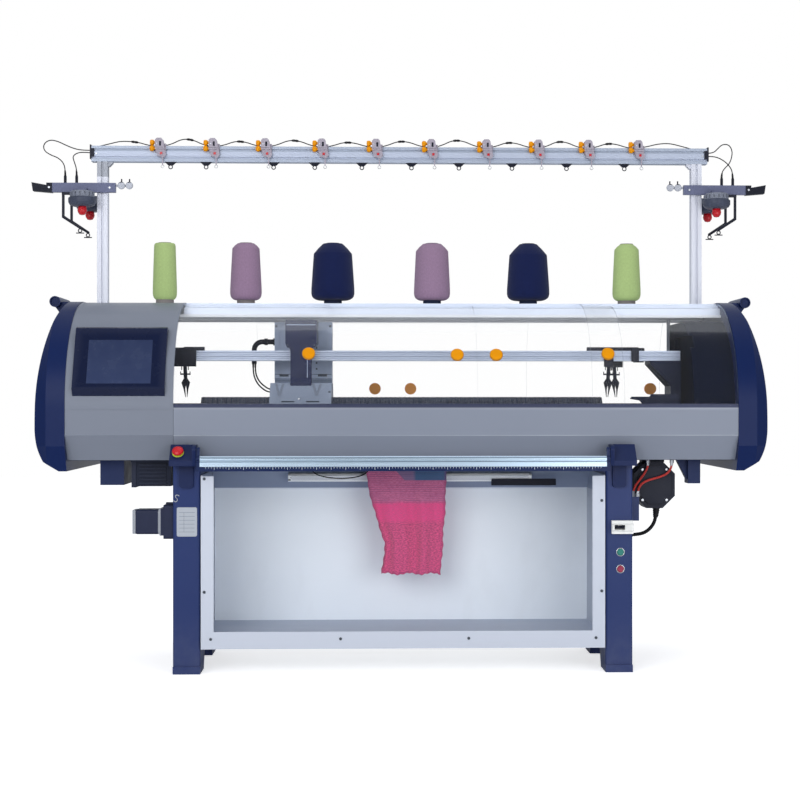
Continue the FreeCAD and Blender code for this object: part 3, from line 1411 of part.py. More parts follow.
def make_sensors():
    """Yarn stop units on the top rail: a leaning housing, a lower guide plate and a hook."""
    units = []
    for x in sensor_x:
        w = sensor_width / 2
        # saddle over the rail, and a rounded housing that leans to the front
        saddle = side_prism([(rail_front - 8, rail_top - 26), (rail_front - 8, rail_top + 8),
                             (rail_front + sensor_depth, rail_top + 8),
                             (rail_front + sensor_depth, rail_top), (rail_front, rail_top),
                             (rail_front, rail_top - 26)], x - w, x + w + 10)
        housing = front_prism([(x - w, rail_top - 14), (x - w, rail_top + 21),
                               (x - w + 7, rail_top + 28), (x + w - 6, rail_top + 28),
                               (x + w, rail_top + 21), (x + w + 6, rail_top - 14)],
                              rail_front - 22, rail_front + 12)
        plate = front_prism([(x - w + 2, rail_top - 14), (x + w + 6, rail_top - 14),
                             (x + w + 12, rail_top - 34), (x + w + 4, rail_top - 46),
                             (x - w + 8, rail_top - 40)], rail_front - 16, rail_front - 8)
        stem = block(x + w - 4, x + w, rail_front - 14, rail_front - 10, rail_bottom - 14,
                     rail_top - 44)
        rail = block(x - 60, x + 60, rail_front, rail_front + 40, rail_bottom, rail_top)
        units.append(joined([saddle, housing, plate, stem]).cut(rail))
    return group(units)


def make_sensor_caps():
    """The two orange tension knobs at the left of each yarn stop unit, one above the other."""
    caps = []
    for x in sensor_x:
        r = sensor_cap_radius
        for lift, d in ((12.0, rail_front - 5), (-11.0, rail_front - r - 1)):
            profile = [(0, 0), (r * 0.5, 0), (r * 0.5, 4), (r * 0.85, 5.5), (r, 9), (r, 16),
                       (r - 2.5, 20), (0, 21)]
            cap = turned(profile, Vec(0, 0, 0))
            cap.rotate(Vec(0, 0, 0), Y_AXIS, -90)
            cap.translate(Vec(x - sensor_width / 2, at(d), rail_top + lift))
            caps.append(cap)
    return group(caps)


def make_sensor_lead():
    """The lead that loops from unit to unit along the top rail, and the four drop leads."""
    y = at(rail_front + sensor_depth + lead_diameter / 2 + 1.0)
    low = rail_top + lead_diameter / 2 + 1.0
    first, last = sensor_x[0], sensor_x[-1]
    points = [(-top_rail_half + 24, y, low), (-top_rail_half + 66, y, low + 10),
              (-top_rail_half + 108, y + 1, low + 21), (first - 88, y + 1, low + 17),
              (first - 46, y, low + 4)]
    for index, x in enumerate(sensor_x[:-1]):
        lift = (30.0, 22.0, 27.0, 20.0, 25.0)[index % 5]
        pitch = sensor_x[index + 1] - x
        points += [(x, y, low), (x + pitch * 0.2, y, low + lift * 0.3),
                   (x + pitch * 0.4, y + 1, low + lift), (x + pitch * 0.6, y + 1, low + lift * 0.9),
                   (x + pitch * 0.8, y, low + lift * 0.25)]
    points += [(last, y, low), (last + 44, y, low + 9), (last + 88, y + 1, low + 20),
               (last + 132, y + 1, low + 22), (last + 178, y, low + 10), (last + 216, y, low)]
    leads = [tube("sensor_lead", points, lead_diameter, 6)]
    # drop leads, as (x past the rail's end plate, d, z above the plugs)
    plug_z = side_bar_z + side_bar_height / 2 + plug_height
    end = top_rail_half + 5
    near, far = plug_x[0] - end, plug_x[1] - end
    bar = post_depth - post_size / 2 - side_bar_wall / 2
    over = [(0, 600, 103), (21, 600, 103), (38, 598, 119), (56, 595, 137), (81, 590, 135),
            (93, 586, 111), (90, 582, 84), (79, 577, 58), (59, 572, 40), (near, bar, 22),
            (near, bar, 0)]
    under = [(0, 597, 90), (24, 597, 90), (48, 596, 82), (70, 594, 67), (85, 587, 48),
             (far, bar + 4, 27), (far, bar, 0)]
    loop = [(0, 600, 103), (36, 600, 103), (68, 603, 111), (98, 604, 124), (127, 604, 138),
            (157, 602, 143), (179, 597, 125), (175, 590, 99), (149, 584, 82), (120, 578, 71),
            (far + 8, 574, 52), (far, bar, 26), (far, bar, 0)]
    inner = [(0, 597, 93), (24, 596, 95), (48, 589, 92), (near + 18, 581, 77), (near + 9, 575, 52),
             (near, bar, 27), (near, bar, 0)]
    for name, side, route in (("drop_lead_1", 1, over), ("drop_lead_2", 1, under),
                              ("drop_lead_3", -1, loop), ("drop_lead_4", -1, inner)):
        places = [(side * (end + out), at(d), plug_z + up) for out, d, up in route]
        leads.append(tube(name, places, lead_diameter, 6))
    return group(leads)


# ---------------------------------------------------------------- side arms
def tension_discs(side):
    """Disc tensioners and their pins at the inner end of a side arm."""
    inner = side * side_bar_inner
    d = post_depth - post_size / 2 - side_bar_wall / 2
    x0, x1 = sorted((inner, inner - side * 62))
    parts = [block(x0, x1, d - 3, d + 3, side_bar_z + 4, side_bar_z + 12)]
    for offset in (22.0, 52.0):
        x = inner - side * offset
        profile = [(0, 0), (12, 0), (14, 2), (9, 4), (9, 6), (14, 8), (12, 10), (0, 10)]
        parts.append(turned(profile, Vec(x, at(d - 3), side_bar_z + 8), 90))
        parts.append(rod(2.5, 26, Vec(x, at(d), side_bar_z + 8), Z_AXIS))
    return parts


def make_side_bars():
    """The side arms on the posts, each with a black end block and its drum holders."""
    bars = []
    h = side_bar_height / 2
    d0 = post_depth - post_size / 2 - side_bar_wall
    d1 = post_depth - post_size / 2
    for side in (-1, 1):
        x0, x1 = sorted((side * side_bar_inner, side * side_bar_outer))
        bar = block(x0, x1, d0, d1, side_bar_z - h, side_bar_z + h)
        tail = side_bar_outer - 22
        end = front_prism([(side * tail, side_bar_z + h - 13), (side * side_end, side_bar_z + h + 1),
                           (side * (side_end - 5), side_bar_z - h + 4), (side * tail, side_bar_z - h - 2)],
                          d0 - 4, d1 + 4)
        plugs = [rod(plug_radius, plug_height, Vec(side * x, at((d0 + d1) / 2), side_bar_z + h), Z_AXIS)
                 for x in plug_x]
        # cross arm that carries the drums in front of and behind the bar
        c0, c1 = sorted((side * (drum_x - 16), side * (drum_x + 16)))
        cross = block(c0, c1, drum_front, drum_rear, side_bar_z - h, side_bar_z - h + 12)
        bars.append(joined([bar, end, cross] + plugs + tension_discs(side)))
    return group(bars)


def drum_places():
    return [(side * drum_x, d) for side in (-1, 1) for d in (drum_front, drum_rear)]


def make_storage_feeders():
    """Four yarn storage feeders: a slotted upper part over a wide, rounded body."""
    drums = []
    top = side_bar_z - side_bar_height / 2
    for x, d in drum_places():
        r, rr, z = drum_radius, housing_radius, drum_foot_z
        profile = [(0, z), (r * 0.66, z), (r * 0.9, z + 6), (r, z + 16), (r, drum_split_z - 5),
                   (rr, drum_split_z), (rr, top - 3), (rr - 5, top), (0, top)]
        drum = turned(profile, Vec(x, at(d), 0))
        slots = []
        for step in range(drum_slots):
            slot = Part.makeBox(slot_deep + 2, slot_width, top - drum_split_z - 9,
                                Vec(rr - slot_deep, -slot_width / 2, drum_split_z + 3))
            slot.rotate(Vec(0, 0, 0), Z_AXIS, 360 / drum_slots * step)
            slot.translate(Vec(x, at(d), 0))
            slots.append(slot)
        drums.append(drum.cut(slots))
    return group(drums)


def make_lamps():
    """Round red lamps under the drums."""
    lamps = []
    for x, d in drum_places():
        r = lamp_radius
        lamps.append(turned([(0, -33), (r * 0.55, -31), (r * 0.9, -22), (r, -14), (r * 0.92, -5),
                             (r * 0.8, 0), (0, 0)], Vec(x, at(d), drum_foot_z)))
    return group(lamps)


def make_feeder_arms():
    """Flat arms beside the drums, cranked in to an eyelet under each drum."""
    arms = []
    top = side_bar_z - side_bar_height / 2
    for x, d in drum_places():
        side = 1 if x > 0 else -1
        edge = drum_radius + 14
        low = drum_foot_z - 42
        eye = 8.0
        outline = [(edge, top - 4), (edge + 10, top - 4), (edge + 10, low), (eye + 3, low - 42),
                   (eye - 6, low - 42), (eye - 6, low - 36), (edge, low + 7)]
        arm = front_prism([(x + side * a, z) for a, z in outline], d - 2, d + 2)
        hook = front_prism([(x + side * (housing_radius - 8), top - 14), (x + side * (edge + 10), top - 14),
                            (x + side * (edge + 10), top - 4), (x + side * (housing_radius - 8), top - 4)],
                           d - 5, d + 5)
        ring = Part.makeTorus(6.5, 2.0, Vec(x + side * eye, at(d), low - 49), Y_AXIS)
        pin = rod(2.0, 30, Vec(x + side * eye - 15, at(d + 1), low - 58), X_AXIS)
        housing = rod(housing_radius, 60, Vec(x, at(d), top - 40), Z_AXIS)
        arms.append(joined([arm, hook, ring, pin]).cut(housing))
    return group(arms)


# ---------------------------------------------------------------- cones
def make_cones():
    """Six wound packages of yarn, each on a tapered paper tube."""
    wound, tubes = [], []
    for index, x in enumerate(cone_x):
        place = Vec(x, at(cone_depth), deck_z)
        h = cone_height
        wide, shoulder, top = cone_radius[index], cone_shoulder[index], cone_top[index]

        def tube_radius(z):
            return tube_foot + (tube_head - tube_foot) * z / h

        foot = 17.0
        rows = [(tube_radius(foot) + 3, foot), (wide * 0.78, foot + 2), (wide * 0.97, foot + 15),
                (wide, foot + 25), (wide, foot + 77), (shoulder + (wide - shoulder) * 0.35, h - 52),
                (shoulder, h - 34), (shoulder * 0.9, h - 18), (top, h - 2)]
        outline = [(tube_radius(foot), foot)] + rows + [(tube_radius(h - 2), h - 2)]
        wound.append(turned(outline, place))
        tubes.append(turned([(tube_foot - 2.5, 0), (tube_foot, 0), (tube_head, h),
                             (tube_head - 2.5, h)], place))
    return group(wound), group(tubes)


# ---------------------------------------------------------------- build everything
save("left_leg", make_leg(-1))
save("right_leg", make_leg(1))
save("bed_frame", joined([make_frame()] + make_pulley_posts()))
save("fabric_bin", make_bin())
save("work_lamp", make_lamp())
save("left_end_cap", make_cap(-1))
save("right_end_cap", make_cap(1))
save("control_cover", make_control_cover())
save("screen_bezel", make_bezel())
save("touch_screen", screen_block(0.2, -0.6))
save("skirts", make_skirts())
save("yarn_table", make_table())
save("cover_tracks", make_tracks())
for number in range(4):
    save("front_cover_" + str(number + 1), make_front_cover(number))
for number in range(4):
    save("rear_cover_" + str(number + 1), make_rear_cover(number))
save("front_needle_bed", make_bed(-1))
save("rear_needle_bed", make_bed(1))
save("feeder_rails", make_rails())
for number in range(3):
    save("yarn_feeder_" + str(number + 1), make_feeder(number))
save("carriage_tower", make_tower())
save("cam_covers", make_cam_covers())
save("carriage_arm", make_arm())
save("carriage_hose", make_carriage_hose())
save("drive_belt", make_belt())
save("drive_pulley", make_pulley(-pulley_x))
save("idler_pulley", make_pulley(pulley_x))
save("main_motor", make_main_motor())
save("take_down_roller", make_roller(first_roller_d, roller_radius))
save("pressure_roller", make_roller(second_roller_d, roller_radius))
save("take_down_motor", make_take_down_motor())
save("start_bar", make_start_bar())
save("bar_brackets", make_brackets())
save("stop_button", make_stop_button())
save("start_button", make_button(start_button_z))
save("off_button", make_button(off_button_z))
save("breaker", make_breaker())
save("breaker_lever", make_breaker_lever())
save("posts", make_posts())
save("top_rail", make_top_rail())
save("rail_fittings", make_fittings())
save("yarn_sensors", make_sensors())
save("sensor_caps", make_sensor_caps())
save("sensor_lead", make_sensor_lead())
save("side_bars", make_side_bars())
save("storage_feeders", make_storage_feeders())
save("warning_lamps", make_lamps())
save("feeder_arms", make_feeder_arms())
wound_yarn, paper_tubes = make_cones()
save("yarn_cones", wound_yarn)
save("cone_tubes", paper_tubes)
save("knit_panel", make_knit())
save("racking_drive", make_racking_drive())
save("service_lines", make_service_lines())
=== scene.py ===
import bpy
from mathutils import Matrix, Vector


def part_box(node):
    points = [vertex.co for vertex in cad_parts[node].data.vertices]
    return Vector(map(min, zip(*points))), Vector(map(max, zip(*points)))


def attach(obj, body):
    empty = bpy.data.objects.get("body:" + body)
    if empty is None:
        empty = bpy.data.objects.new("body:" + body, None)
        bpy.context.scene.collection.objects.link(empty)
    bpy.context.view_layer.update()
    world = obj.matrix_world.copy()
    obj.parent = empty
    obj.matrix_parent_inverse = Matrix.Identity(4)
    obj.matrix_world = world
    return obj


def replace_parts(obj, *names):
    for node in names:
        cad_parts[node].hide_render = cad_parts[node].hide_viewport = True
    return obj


bl_info = {
    "name": "Flat knitting machine",
    "version": (1, 0, 0),
    "blender": (4, 5, 0),
    "location": "View3D > Sidebar > Knitting",
    "description": "Finishes and fine pieces of a flat knitting machine with a yarn stand",
    "category": "Object",
}

import math

import bmesh
import bpy
from mathutils import Euler, Matrix, Vector
from mathutils.bvhtree import BVHTree

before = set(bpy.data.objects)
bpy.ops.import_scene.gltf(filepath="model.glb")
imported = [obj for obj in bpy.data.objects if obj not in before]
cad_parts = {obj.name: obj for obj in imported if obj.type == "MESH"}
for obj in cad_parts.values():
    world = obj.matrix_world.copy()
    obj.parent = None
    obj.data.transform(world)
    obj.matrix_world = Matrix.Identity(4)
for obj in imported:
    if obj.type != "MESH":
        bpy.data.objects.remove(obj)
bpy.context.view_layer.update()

# --- places taken from the frame
FRONT_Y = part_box("skirts")[0].y + 0.003        # the front of the covers
COVER_RADIUS = 0.376
REAR_RADIUS = 0.220
FRONT_AXIS = Vector((0.0, FRONT_Y + COVER_RADIUS, 0.929))
REAR_AXIS = Vector((0.0, FRONT_Y + 0.860 - REAR_RADIUS, 1.305 - REAR_RADIUS))
DECK_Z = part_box("yarn_table")[1].z
FRONT_OUTER = (1, 4)                           # covers that run in the outer track
TRACK_STEP = 0.008                             # from the outer track in to the inner one


def depth(d):
    """The Y of a place that lies d metres behind the front of the covers."""
    return FRONT_Y + d


# --- user's sizes and colours
def size_prop(label, text, default):
    return bpy.props.FloatProperty(name=label, description=text, default=default, unit="LENGTH",
                                   min=0.0001, precision=4)


def colour_prop(label, text, default):
    return bpy.props.FloatVectorProperty(name=label, description=text, default=default,
                                         subtype="COLOR", size=3, min=0.0, max=1.0)


class PaintSettings(bpy.types.PropertyGroup):
    """Colours of the painted and moulded pieces."""

    navy: colour_prop("Navy moulding", "End caps and brackets", (0.004, 0.014, 0.075))
    leg: colour_prop("Leg blue", "The two legs", (0.021, 0.037, 0.130))
    grey: colour_prop("Cover grey", "Control cover and lower covers", (0.215, 0.240, 0.300))
    bin: colour_prop("Bin grey", "The fabric bin", (0.84, 0.90, 0.98))
    casting: colour_prop("Casting", "The bed casting", (0.007, 0.011, 0.032))
    table: colour_prop("Table", "The yarn table", (0.78, 0.81, 0.87))
    carriage: colour_prop("Carriage grey", "Tower and cam covers", (0.19, 0.225, 0.30))


class PlasticSettings(bpy.types.PropertyGroup):
    """Colours of knobs, buttons and small mouldings."""

    orange: colour_prop("Knob orange", "Cover knobs and tension knobs", (0.76, 0.29, 0.002))
    black: colour_prop("Black plastic", "Feeders, brackets and drums", (0.008, 0.010, 0.021))
    red: colour_prop("Red", "Stop and off buttons, lamps", (0.50, 0.010, 0.018))
    green: colour_prop("Green", "Start button", (0.012, 0.17, 0.14))
    lilac: colour_prop("Sensor grey", "Yarn stop units", (0.34, 0.31, 0.37))
    hose: colour_prop("Air hose", "The two air hoses", (0.40, 0.035, 0.030))
    lime: colour_prop("Ring", "Ring of the stop button", (0.45, 0.55, 0.05))


class YarnSettings(bpy.types.PropertyGroup):
    """Colours of the wound packages and of the knitted panel."""

    lime: colour_prop("Lime yarn", "First and last package", (0.395, 0.525, 0.215))
    mauve: colour_prop("Mauve yarn", "Second and fourth package", (0.29, 0.19, 0.29))
    navy: colour_prop("Navy yarn", "Third and fifth package", (0.006, 0.012, 0.062))
    pink: colour_prop("Knit pink", "Main colour of the panel", (0.82, 0.130, 0.295))
    rose: colour_prop("Knit rose", "Pale marl in the panel", (0.66, 0.20, 0.37))
    plum: colour_prop("Knit plum", "Dark marl in the panel", (0.36, 0.060, 0.165))
    teal: colour_prop("Knit teal", "Corner of the panel", (0.07, 0.14, 0.28))


class SizeSettings(bpy.types.PropertyGroup):
    """Sizes of the small pieces that are added to the frame."""

    tick: size_prop("Tick", "Length of a short tick on the scale strip", 0.005)
    tick_pitch: size_prop("Tick pitch", "Distance between ticks", 0.010)
    stitch: size_prop("Stitch", "Width of one knitted stitch", 0.0036)
    eye: size_prop("Camera distance", "Camera to the front of the covers", 5.7)


GROUPS = (PaintSettings, PlasticSettings, YarnSettings, SizeSettings)


def setting_name(group):
    return "knitting_" + group.__name__.lower()


def settings(group):
    return getattr(bpy.context.scene, setting_name(group))


# --- finishes
def toned(colour, factor, lift=0.0):
    """A colour made darker or lighter, and lifted towards white."""
    return tuple(min(1.0, c * factor + lift) for c in colour[:3])


def fill(tree, socket, value):
    """Links a socket's source, or sets its plain value; a colour's alpha may be left out."""
    if isinstance(value, bpy.types.NodeSocket):
        tree.links.new(value, socket)
    elif socket.type == "RGBA" and len(value) == 3:
        socket.default_value = (*value, 1.0)
    else:
        socket.default_value = value


def wired(tree, kind, inputs=None, **values):
    """A new node with its values set and its inputs linked or filled."""
    made = tree.nodes.new(kind)
    for key, value in values.items():
        setattr(made, key, value)
    for key, value in (inputs or {}).items():
        fill(tree, made.inputs[key], value)
    return made


class Finish:
    """One material: its shader, and the nodes that feed it from Object coordinates."""

    def __init__(self, name, colour, roughness, metallic=0.0, **sockets):
        sockets.setdefault("Specular_IOR_Level", 0.12)
        self.material = bpy.data.materials.new(name)
        self.material.use_nodes = True
        self.tree = self.material.node_tree
        self.tree.nodes.clear()
        self.colour = tuple(colour[:3])
        self.shader = self.node("ShaderNodeBsdfPrincipled", {
            "Base Color": self.colour, "Roughness": roughness, "Metallic": metallic,
            **{socket.replace("_", " "): value for socket, value in sockets.items()}})
        self.node("ShaderNodeOutputMaterial", {0: self.shader.outputs[0]})
        self.place = self.node("ShaderNodeTexCoord").outputs["Object"]

    def node(self, kind, inputs=None, **values):
        return wired(self.tree, kind, inputs, **values)

    def feed(self, socket, value):
        fill(self.tree, self.shader.inputs[socket], value)

    def calc(self, operation, first, second=0.0, clamp=False):
        return self.node("ShaderNodeMath", {0: first, 1: second},
                         operation=operation, use_clamp=clamp).outputs[0]

    def times(self, first, second):
        return self.calc("MULTIPLY", first, second)

    def most(self, first, second):
        return self.calc("MAXIMUM", first, second)

    def axis(self, letter):
        return self.node("ShaderNodeSeparateXYZ", {0: self.place}).outputs[letter]

    def facing(self, letter):
        """The surface's direction along one axis."""
        normal = self.node("ShaderNodeNewGeometry").outputs["Normal"]
        return self.node("ShaderNodeSeparateXYZ", {0: normal}).outputs[letter]

    def away(self, vector, spot):
        """The distance from a spot."""
        return self.node("ShaderNodeVectorMath", {0: vector, 1: spot}, operation="DISTANCE").outputs["Value"]

    def stretched(self, stretch, turn=(0.0, 0.0, 0.0)):
        return self.node("ShaderNodeMapping",
                         {"Vector": self.place, "Scale": stretch, "Rotation": turn}).outputs[0]

    def noise(self, per_metre, detail=3.0, stretch=None, rough=0.55):
        vector = self.stretched(stretch) if stretch else self.place
        return self.node("ShaderNodeTexNoise", {"Vector": vector, "Scale": per_metre, "Detail": detail,
                                                "Roughness": rough}).outputs[0]

    def remap(self, value, low, high, to_low=0.0, to_high=1.0, soft=False):
        return self.node("ShaderNodeMapRange", {0: value, 1: low, 2: high, 3: to_low, 4: to_high},
                         interpolation_type="SMOOTHSTEP" if soft else "LINEAR").outputs[0]

    def past(self, letter, low, high):
        """0 before a place on an axis and 1 past it."""
        return self.remap(self.axis(letter), low, high)

    def before(self, letter, low, high):
        """1 before a place on an axis and 0 past it."""
        return self.remap(self.axis(letter), low, high, 1.0, 0.0)

    def within(self, letter, low, high, soft=0.0006):
        """1 between two places on an axis, 0 outside."""
        place = self.axis(letter)
        return self.times(self.remap(place, low - soft, low + soft),
                          self.remap(place, high - soft, high + soft, 1.0, 0.0))

    def mix(self, share, first, second, blend="MIX"):
        """A colour between two, by a share from 0 to 1."""
        return self.node("ShaderNodeMix", {0: share, 6: first, 7: second},
                         data_type="RGBA", blend_type=blend).outputs[2]

    def shade(self, share, amount):
        """The base colour a little darker and lighter by a pattern from 0 to 1."""
        return self.mix(share, toned(self.colour, 1.0 - amount), toned(self.colour, 1.0 + amount))

    def cloudy(self, per_metre, detail, amount):
        return self.shade(self.noise(per_metre, detail), amount)

    def paint(self, colour):
        self.feed("Base Color", colour)

    def over(self, share, colour):
        """Another colour over the present one, by a share from 0 to 1."""
        present = self.shader.inputs["Base Color"].links[0].from_socket
        self.paint(self.mix(share, present, colour))

    def rough(self, value):
        self.feed("Roughness", value)

    def bump(self, height, strength, distance):
        self.feed("Normal", self.node("ShaderNodeBump", {"Strength": strength, "Distance": distance,
                                                         "Height": height}).outputs[0])


def pebbled(name, colour, roughness=0.42, grain=900.0, depth_of=0.00025, coat=0.0):
    """Moulded or powder-coated surface: fine pebbles, cloudy shade and edges paler from wear."""
    made = Finish(name, colour, roughness, Coat_Weight=coat, Coat_Roughness=0.25)
    base = made.cloudy(2.2, 4.0, 0.10)
    edges = made.node("ShaderNodeNewGeometry").outputs["Pointiness"]
    wear_and_highlight = made.times(made.remap(edges, 0.52, 0.60, soft=True), 0.25)
    made.paint(made.mix(wear_and_highlight, base, toned(colour, 1.35, 0.03)))
    made.rough(made.remap(made.noise(16.0, 5.0), 0.3, 0.7, roughness - 0.06, roughness + 0.08))
    made.bump(made.noise(grain, 2.0), 0.35, depth_of)
    return made


def painted(name, colour, roughness, coat=0.06):
    """Smooth baked paint with a faint orange-peel and slight dust low down."""
    made = Finish(name, colour, roughness, Coat_Weight=coat, Coat_Roughness=0.12)
    base = made.cloudy(1.6, 5.0, 0.05)
    low = made.remap(made.axis("Z"), 0.0, 0.25, 0.35, 0.0, soft=True)
    made.paint(made.mix(made.times(low, made.noise(28.0, 6.0)), base, toned(colour, 0.75, 0.12)))
    made.rough(made.remap(made.noise(9.0, 6.0), 0.3, 0.7, roughness - 0.05, roughness + 0.07))
    made.bump(made.noise(260.0, 2.0), 0.12, 0.0002)
    return made


def drawn_metal(name, colour, along="X", roughness=0.3, metallic=0.85):
    """Extruded or ground metal with fine lines along one axis."""
    made = Finish(name, colour, roughness, metallic)
    lines = made.noise(1.0, 2.0, tuple(1.5 if letter == along else 320.0 for letter in "XYZ"))
    made.paint(made.cloudy(3.0, 3.0, 0.06))
    made.rough(made.remap(lines, 0.25, 0.75, roughness - 0.04, roughness + 0.06))
    made.bump(lines, 0.05, 0.0001)
    return made


# places where one look gives way to the next, in metres
KNOB_FOOT = (0.0004, 0.0009)                   # out from the face of the sheet
KNOB_DISC = (0.0225, 0.0235)                   # round the axis of a rear knob
KNOB_RIM = (0.0222, 0.0236)                    # round the middle of a front knob
RIM_BROWN, REAR_ORANGE = (0.56, 0.24, 0.02), (1.0, 0.42, 0.11)
# grey-blue colour along the covers' cut edges: a painted reflection
EDGE_REFLECTION = (0.25, 0.30, 0.40)


def clear_cover(name, kind, outer, knob):
    """Clear sheet whose cut edges carry a darker painted reflection, with an orange knob; a front knob has a brown
    rim.
    """
    made = Finish(name, (0.86, 0.91, 0.95), 0.06)
    if kind == "front":
        flat = made.node("ShaderNodeVectorMath", {0: made.place, 1: (0.0, 1.0, 1.0)}, operation="MULTIPLY")
        on_knob = made.remap(made.away(flat.outputs[0], FRONT_AXIS), *(outer + step for step in KNOB_FOOT))
        tone = settings(PlasticSettings).orange
    else:
        face = REAR_AXIS.y + outer
        across = made.calc("SUBTRACT", made.axis("X"), knob[0])
        above = made.calc("SUBTRACT", made.axis("Z"), knob[2])
        span = made.calc("SQRT", made.calc("ADD", made.times(across, across), made.times(above, above)))
        on_knob = made.most(made.past("Y", *(face + step for step in KNOB_FOOT)),
                            made.remap(span, *KNOB_DISC, 1.0, 0.0))
        tone = REAR_ORANGE
    knob_colour = made.mix(made.noise(40.0, 3.0), tone, toned(tone, 0.86))
    if kind == "front":
        rim = made.remap(made.away(made.place, knob), *KNOB_RIM)
        knob_colour = made.mix(rim, knob_colour, RIM_BROWN)
    clear = made.mix(made.noise(5.0, 6.0, (1.0, 2.5, 1.0)), (0.95, 0.97, 1.0), (0.88, 0.92, 0.97))
    cut_edge = made.calc("GREATER_THAN", made.calc("ABSOLUTE", made.facing("X")), 0.9)
    # cut edges get a painted grey-blue reflection
    clear = made.mix(cut_edge, clear, EDGE_REFLECTION)
    made.paint(made.mix(on_knob, clear, knob_colour))
    gloss = made.node("ShaderNodeFresnel", {"IOR": 1.33}).outputs[0]
    body = made.calc("ADD", made.times(gloss, 0.10), 0.005)
    body = made.calc("ADD", body, made.times(cut_edge, 0.9), clamp=True)
    made.feed("Alpha", made.most(body, on_knob))
    made.rough(made.remap(on_knob, 0.0, 1.0, 0.07, 0.45))
    made.feed("Specular IOR Level", made.remap(on_knob, 0.0, 1.0, 0.4, 0.08))
    made.bump(made.noise(1.6, 1.0), 0.05, 0.002)
    return made


def bed_steel(name):
    """Ground needle bed: dark oiled plate with brighter lines along the needles."""
    dark = (0.022, 0.027, 0.048)
    made = Finish(name, dark, 0.34, 0.75)
    fine = made.noise(1.0, 3.0, (700.0, 25.0, 25.0))
    made.paint(made.mix(made.remap(fine, 0.42, 0.60), dark, (0.12, 0.135, 0.18)))
    made.rough(made.remap(made.noise(14.0, 5.0, (1.0, 1.0, 1.0)), 0.3, 0.7, 0.26, 0.5))
    made.bump(fine, 0.3, 0.0004)
    return made


def yarn_finish(name, colour):
    """Wound yarn: crossing turns on the package's own UV map, darker in the gaps between turns as painted shade,
    with soft fuzz.
    """
    made = Finish(name, colour, 0.9, Sheen_Weight=0.08, Sheen_Roughness=0.5, Specular_IOR_Level=0.15)
    made.place = made.node("ShaderNodeUVMap", uv_map="wound").outputs[0]
    one_way, other_way = (
        made.node("ShaderNodeTexWave", {"Vector": made.stretched((1.0, 1.0, 1.0), (0.0, 0.0, lean)),
                                        "Scale": 34.0, "Distortion": 1.2, "Detail": 2.0, "Detail Scale": 2.0},
                  wave_type="BANDS", bands_direction="Y").outputs["Fac"] for lean in (0.22, -0.22))
    height = made.most(one_way, other_way)
    cross = made.noise(1.0, 4.0, (60.0, 12.0, 1.0), 0.5)
    # turns lighter and the gaps between them darker: painted shade, mixed with a random tone
    made.paint(made.mix(made.times(cross, height), toned(colour, 0.78), toned(colour, 1.28)))
    made.bump(height, 0.25, 0.0012)
    return made


PANEL_WIDTH = 0.297
BAND_FOOT, BAND_TOP = (0.184, 0.200), (0.256, 0.268)       # above the hem
STRIPE = 0.0068


def knit_finish(name):
    """Knitted marl in rows of V stitches, striped near the top, teal in the top right corner."""
    yarn = settings(YarnSettings)
    pitch = settings(SizeSettings).stitch
    made = Finish(name, yarn.pink, 0.86, Sheen_Weight=0.4, Sheen_Roughness=0.45)
    made.place = made.node("ShaderNodeUVMap", uv_map="cloth").outputs[0]
    across, above = made.axis("X"), made.axis("Y")          # from the left edge and from the hem
    half = made.calc("PINGPONG", made.calc("DIVIDE", across, pitch), 0.5)
    row = made.calc("ADD", made.calc("DIVIDE", above, pitch * 0.75), made.times(half, 1.1))
    loop = made.calc("PINGPONG", row, 0.5)
    height = made.times(made.calc("SINE", made.times(loop, math.pi)), made.remap(half, 0.0, 0.12))
    coarse, fine, slow = (made.noise(1.0, detail, stretch, 0.5) for stretch, detail in (
        ((95.0, 240.0, 1.0), 4.0), ((420.0, 900.0, 1.0), 3.0), ((14.0, 60.0, 1.0), 2.0)))
    fleck = made.remap(made.calc("ADD", made.times(coarse, 0.6), made.times(fine, 0.4)), 0.41, 0.61, 0.0, 0.95)
    drift = made.calc("ADD", above, made.times(made.calc("SUBTRACT", slow, 0.5), 0.014))
    # marl, with a bright band over it
    band = made.times(made.remap(drift, *BAND_FOOT), made.remap(drift, *BAND_TOP, 1.0, 0.0))
    bright = made.mix(made.times(fleck, 0.7), (0.84, 0.090, 0.28), (0.60, 0.11, 0.26))
    mixed = made.mix(band, made.mix(fleck, yarn.pink, yarn.plum), bright)
    # stripes above the band
    lines = made.remap(made.calc("PINGPONG", made.calc("DIVIDE", above, STRIPE), 0.5), 0.10, 0.40)
    lines = made.times(lines, made.remap(slow, 0.35, 0.60, 0.35, 0.95))
    striped = made.mix(lines, yarn.rose, (0.36, 0.12, 0.26))
    mixed = made.mix(made.remap(drift, *BAND_TOP), mixed, made.mix(made.times(fleck, 0.6), striped, yarn.plum))
    # teal corner with a slanted edge
    edge = made.remap(across, 0.095, 0.140, 0.395, 0.342)
    corner = made.remap(made.calc("SUBTRACT", above, edge), 0.0, 0.0015)
    patch = made.mix(made.remap(across, 0.172, 0.184), (0.25, 0.16, 0.30), yarn.teal)
    mixed = made.mix(corner, mixed, made.mix(made.times(lines, 0.5), patch, (0.10, 0.11, 0.22)))
    # darker rim along both sides and the hem
    rim = made.most(made.remap(across, 0.0, 0.012, 1.0, 0.0), made.remap(across, 0.285, PANEL_WIDTH))
    rim = made.most(rim, made.remap(above, 0.0, 0.010, 1.0, 0.0))
    mixed = made.mix(made.times(rim, 0.45), mixed, (0.26, 0.05, 0.14))
    # stitch loops lighter and the gaps between them darker: painted shade
    made.paint(made.mix(1.0, mixed, made.remap(height, 0.0, 0.6, 0.74, 1.06), "MULTIPLY"))
    made.bump(height, 0.6, 0.0009)
    return made


FINISHES = {}


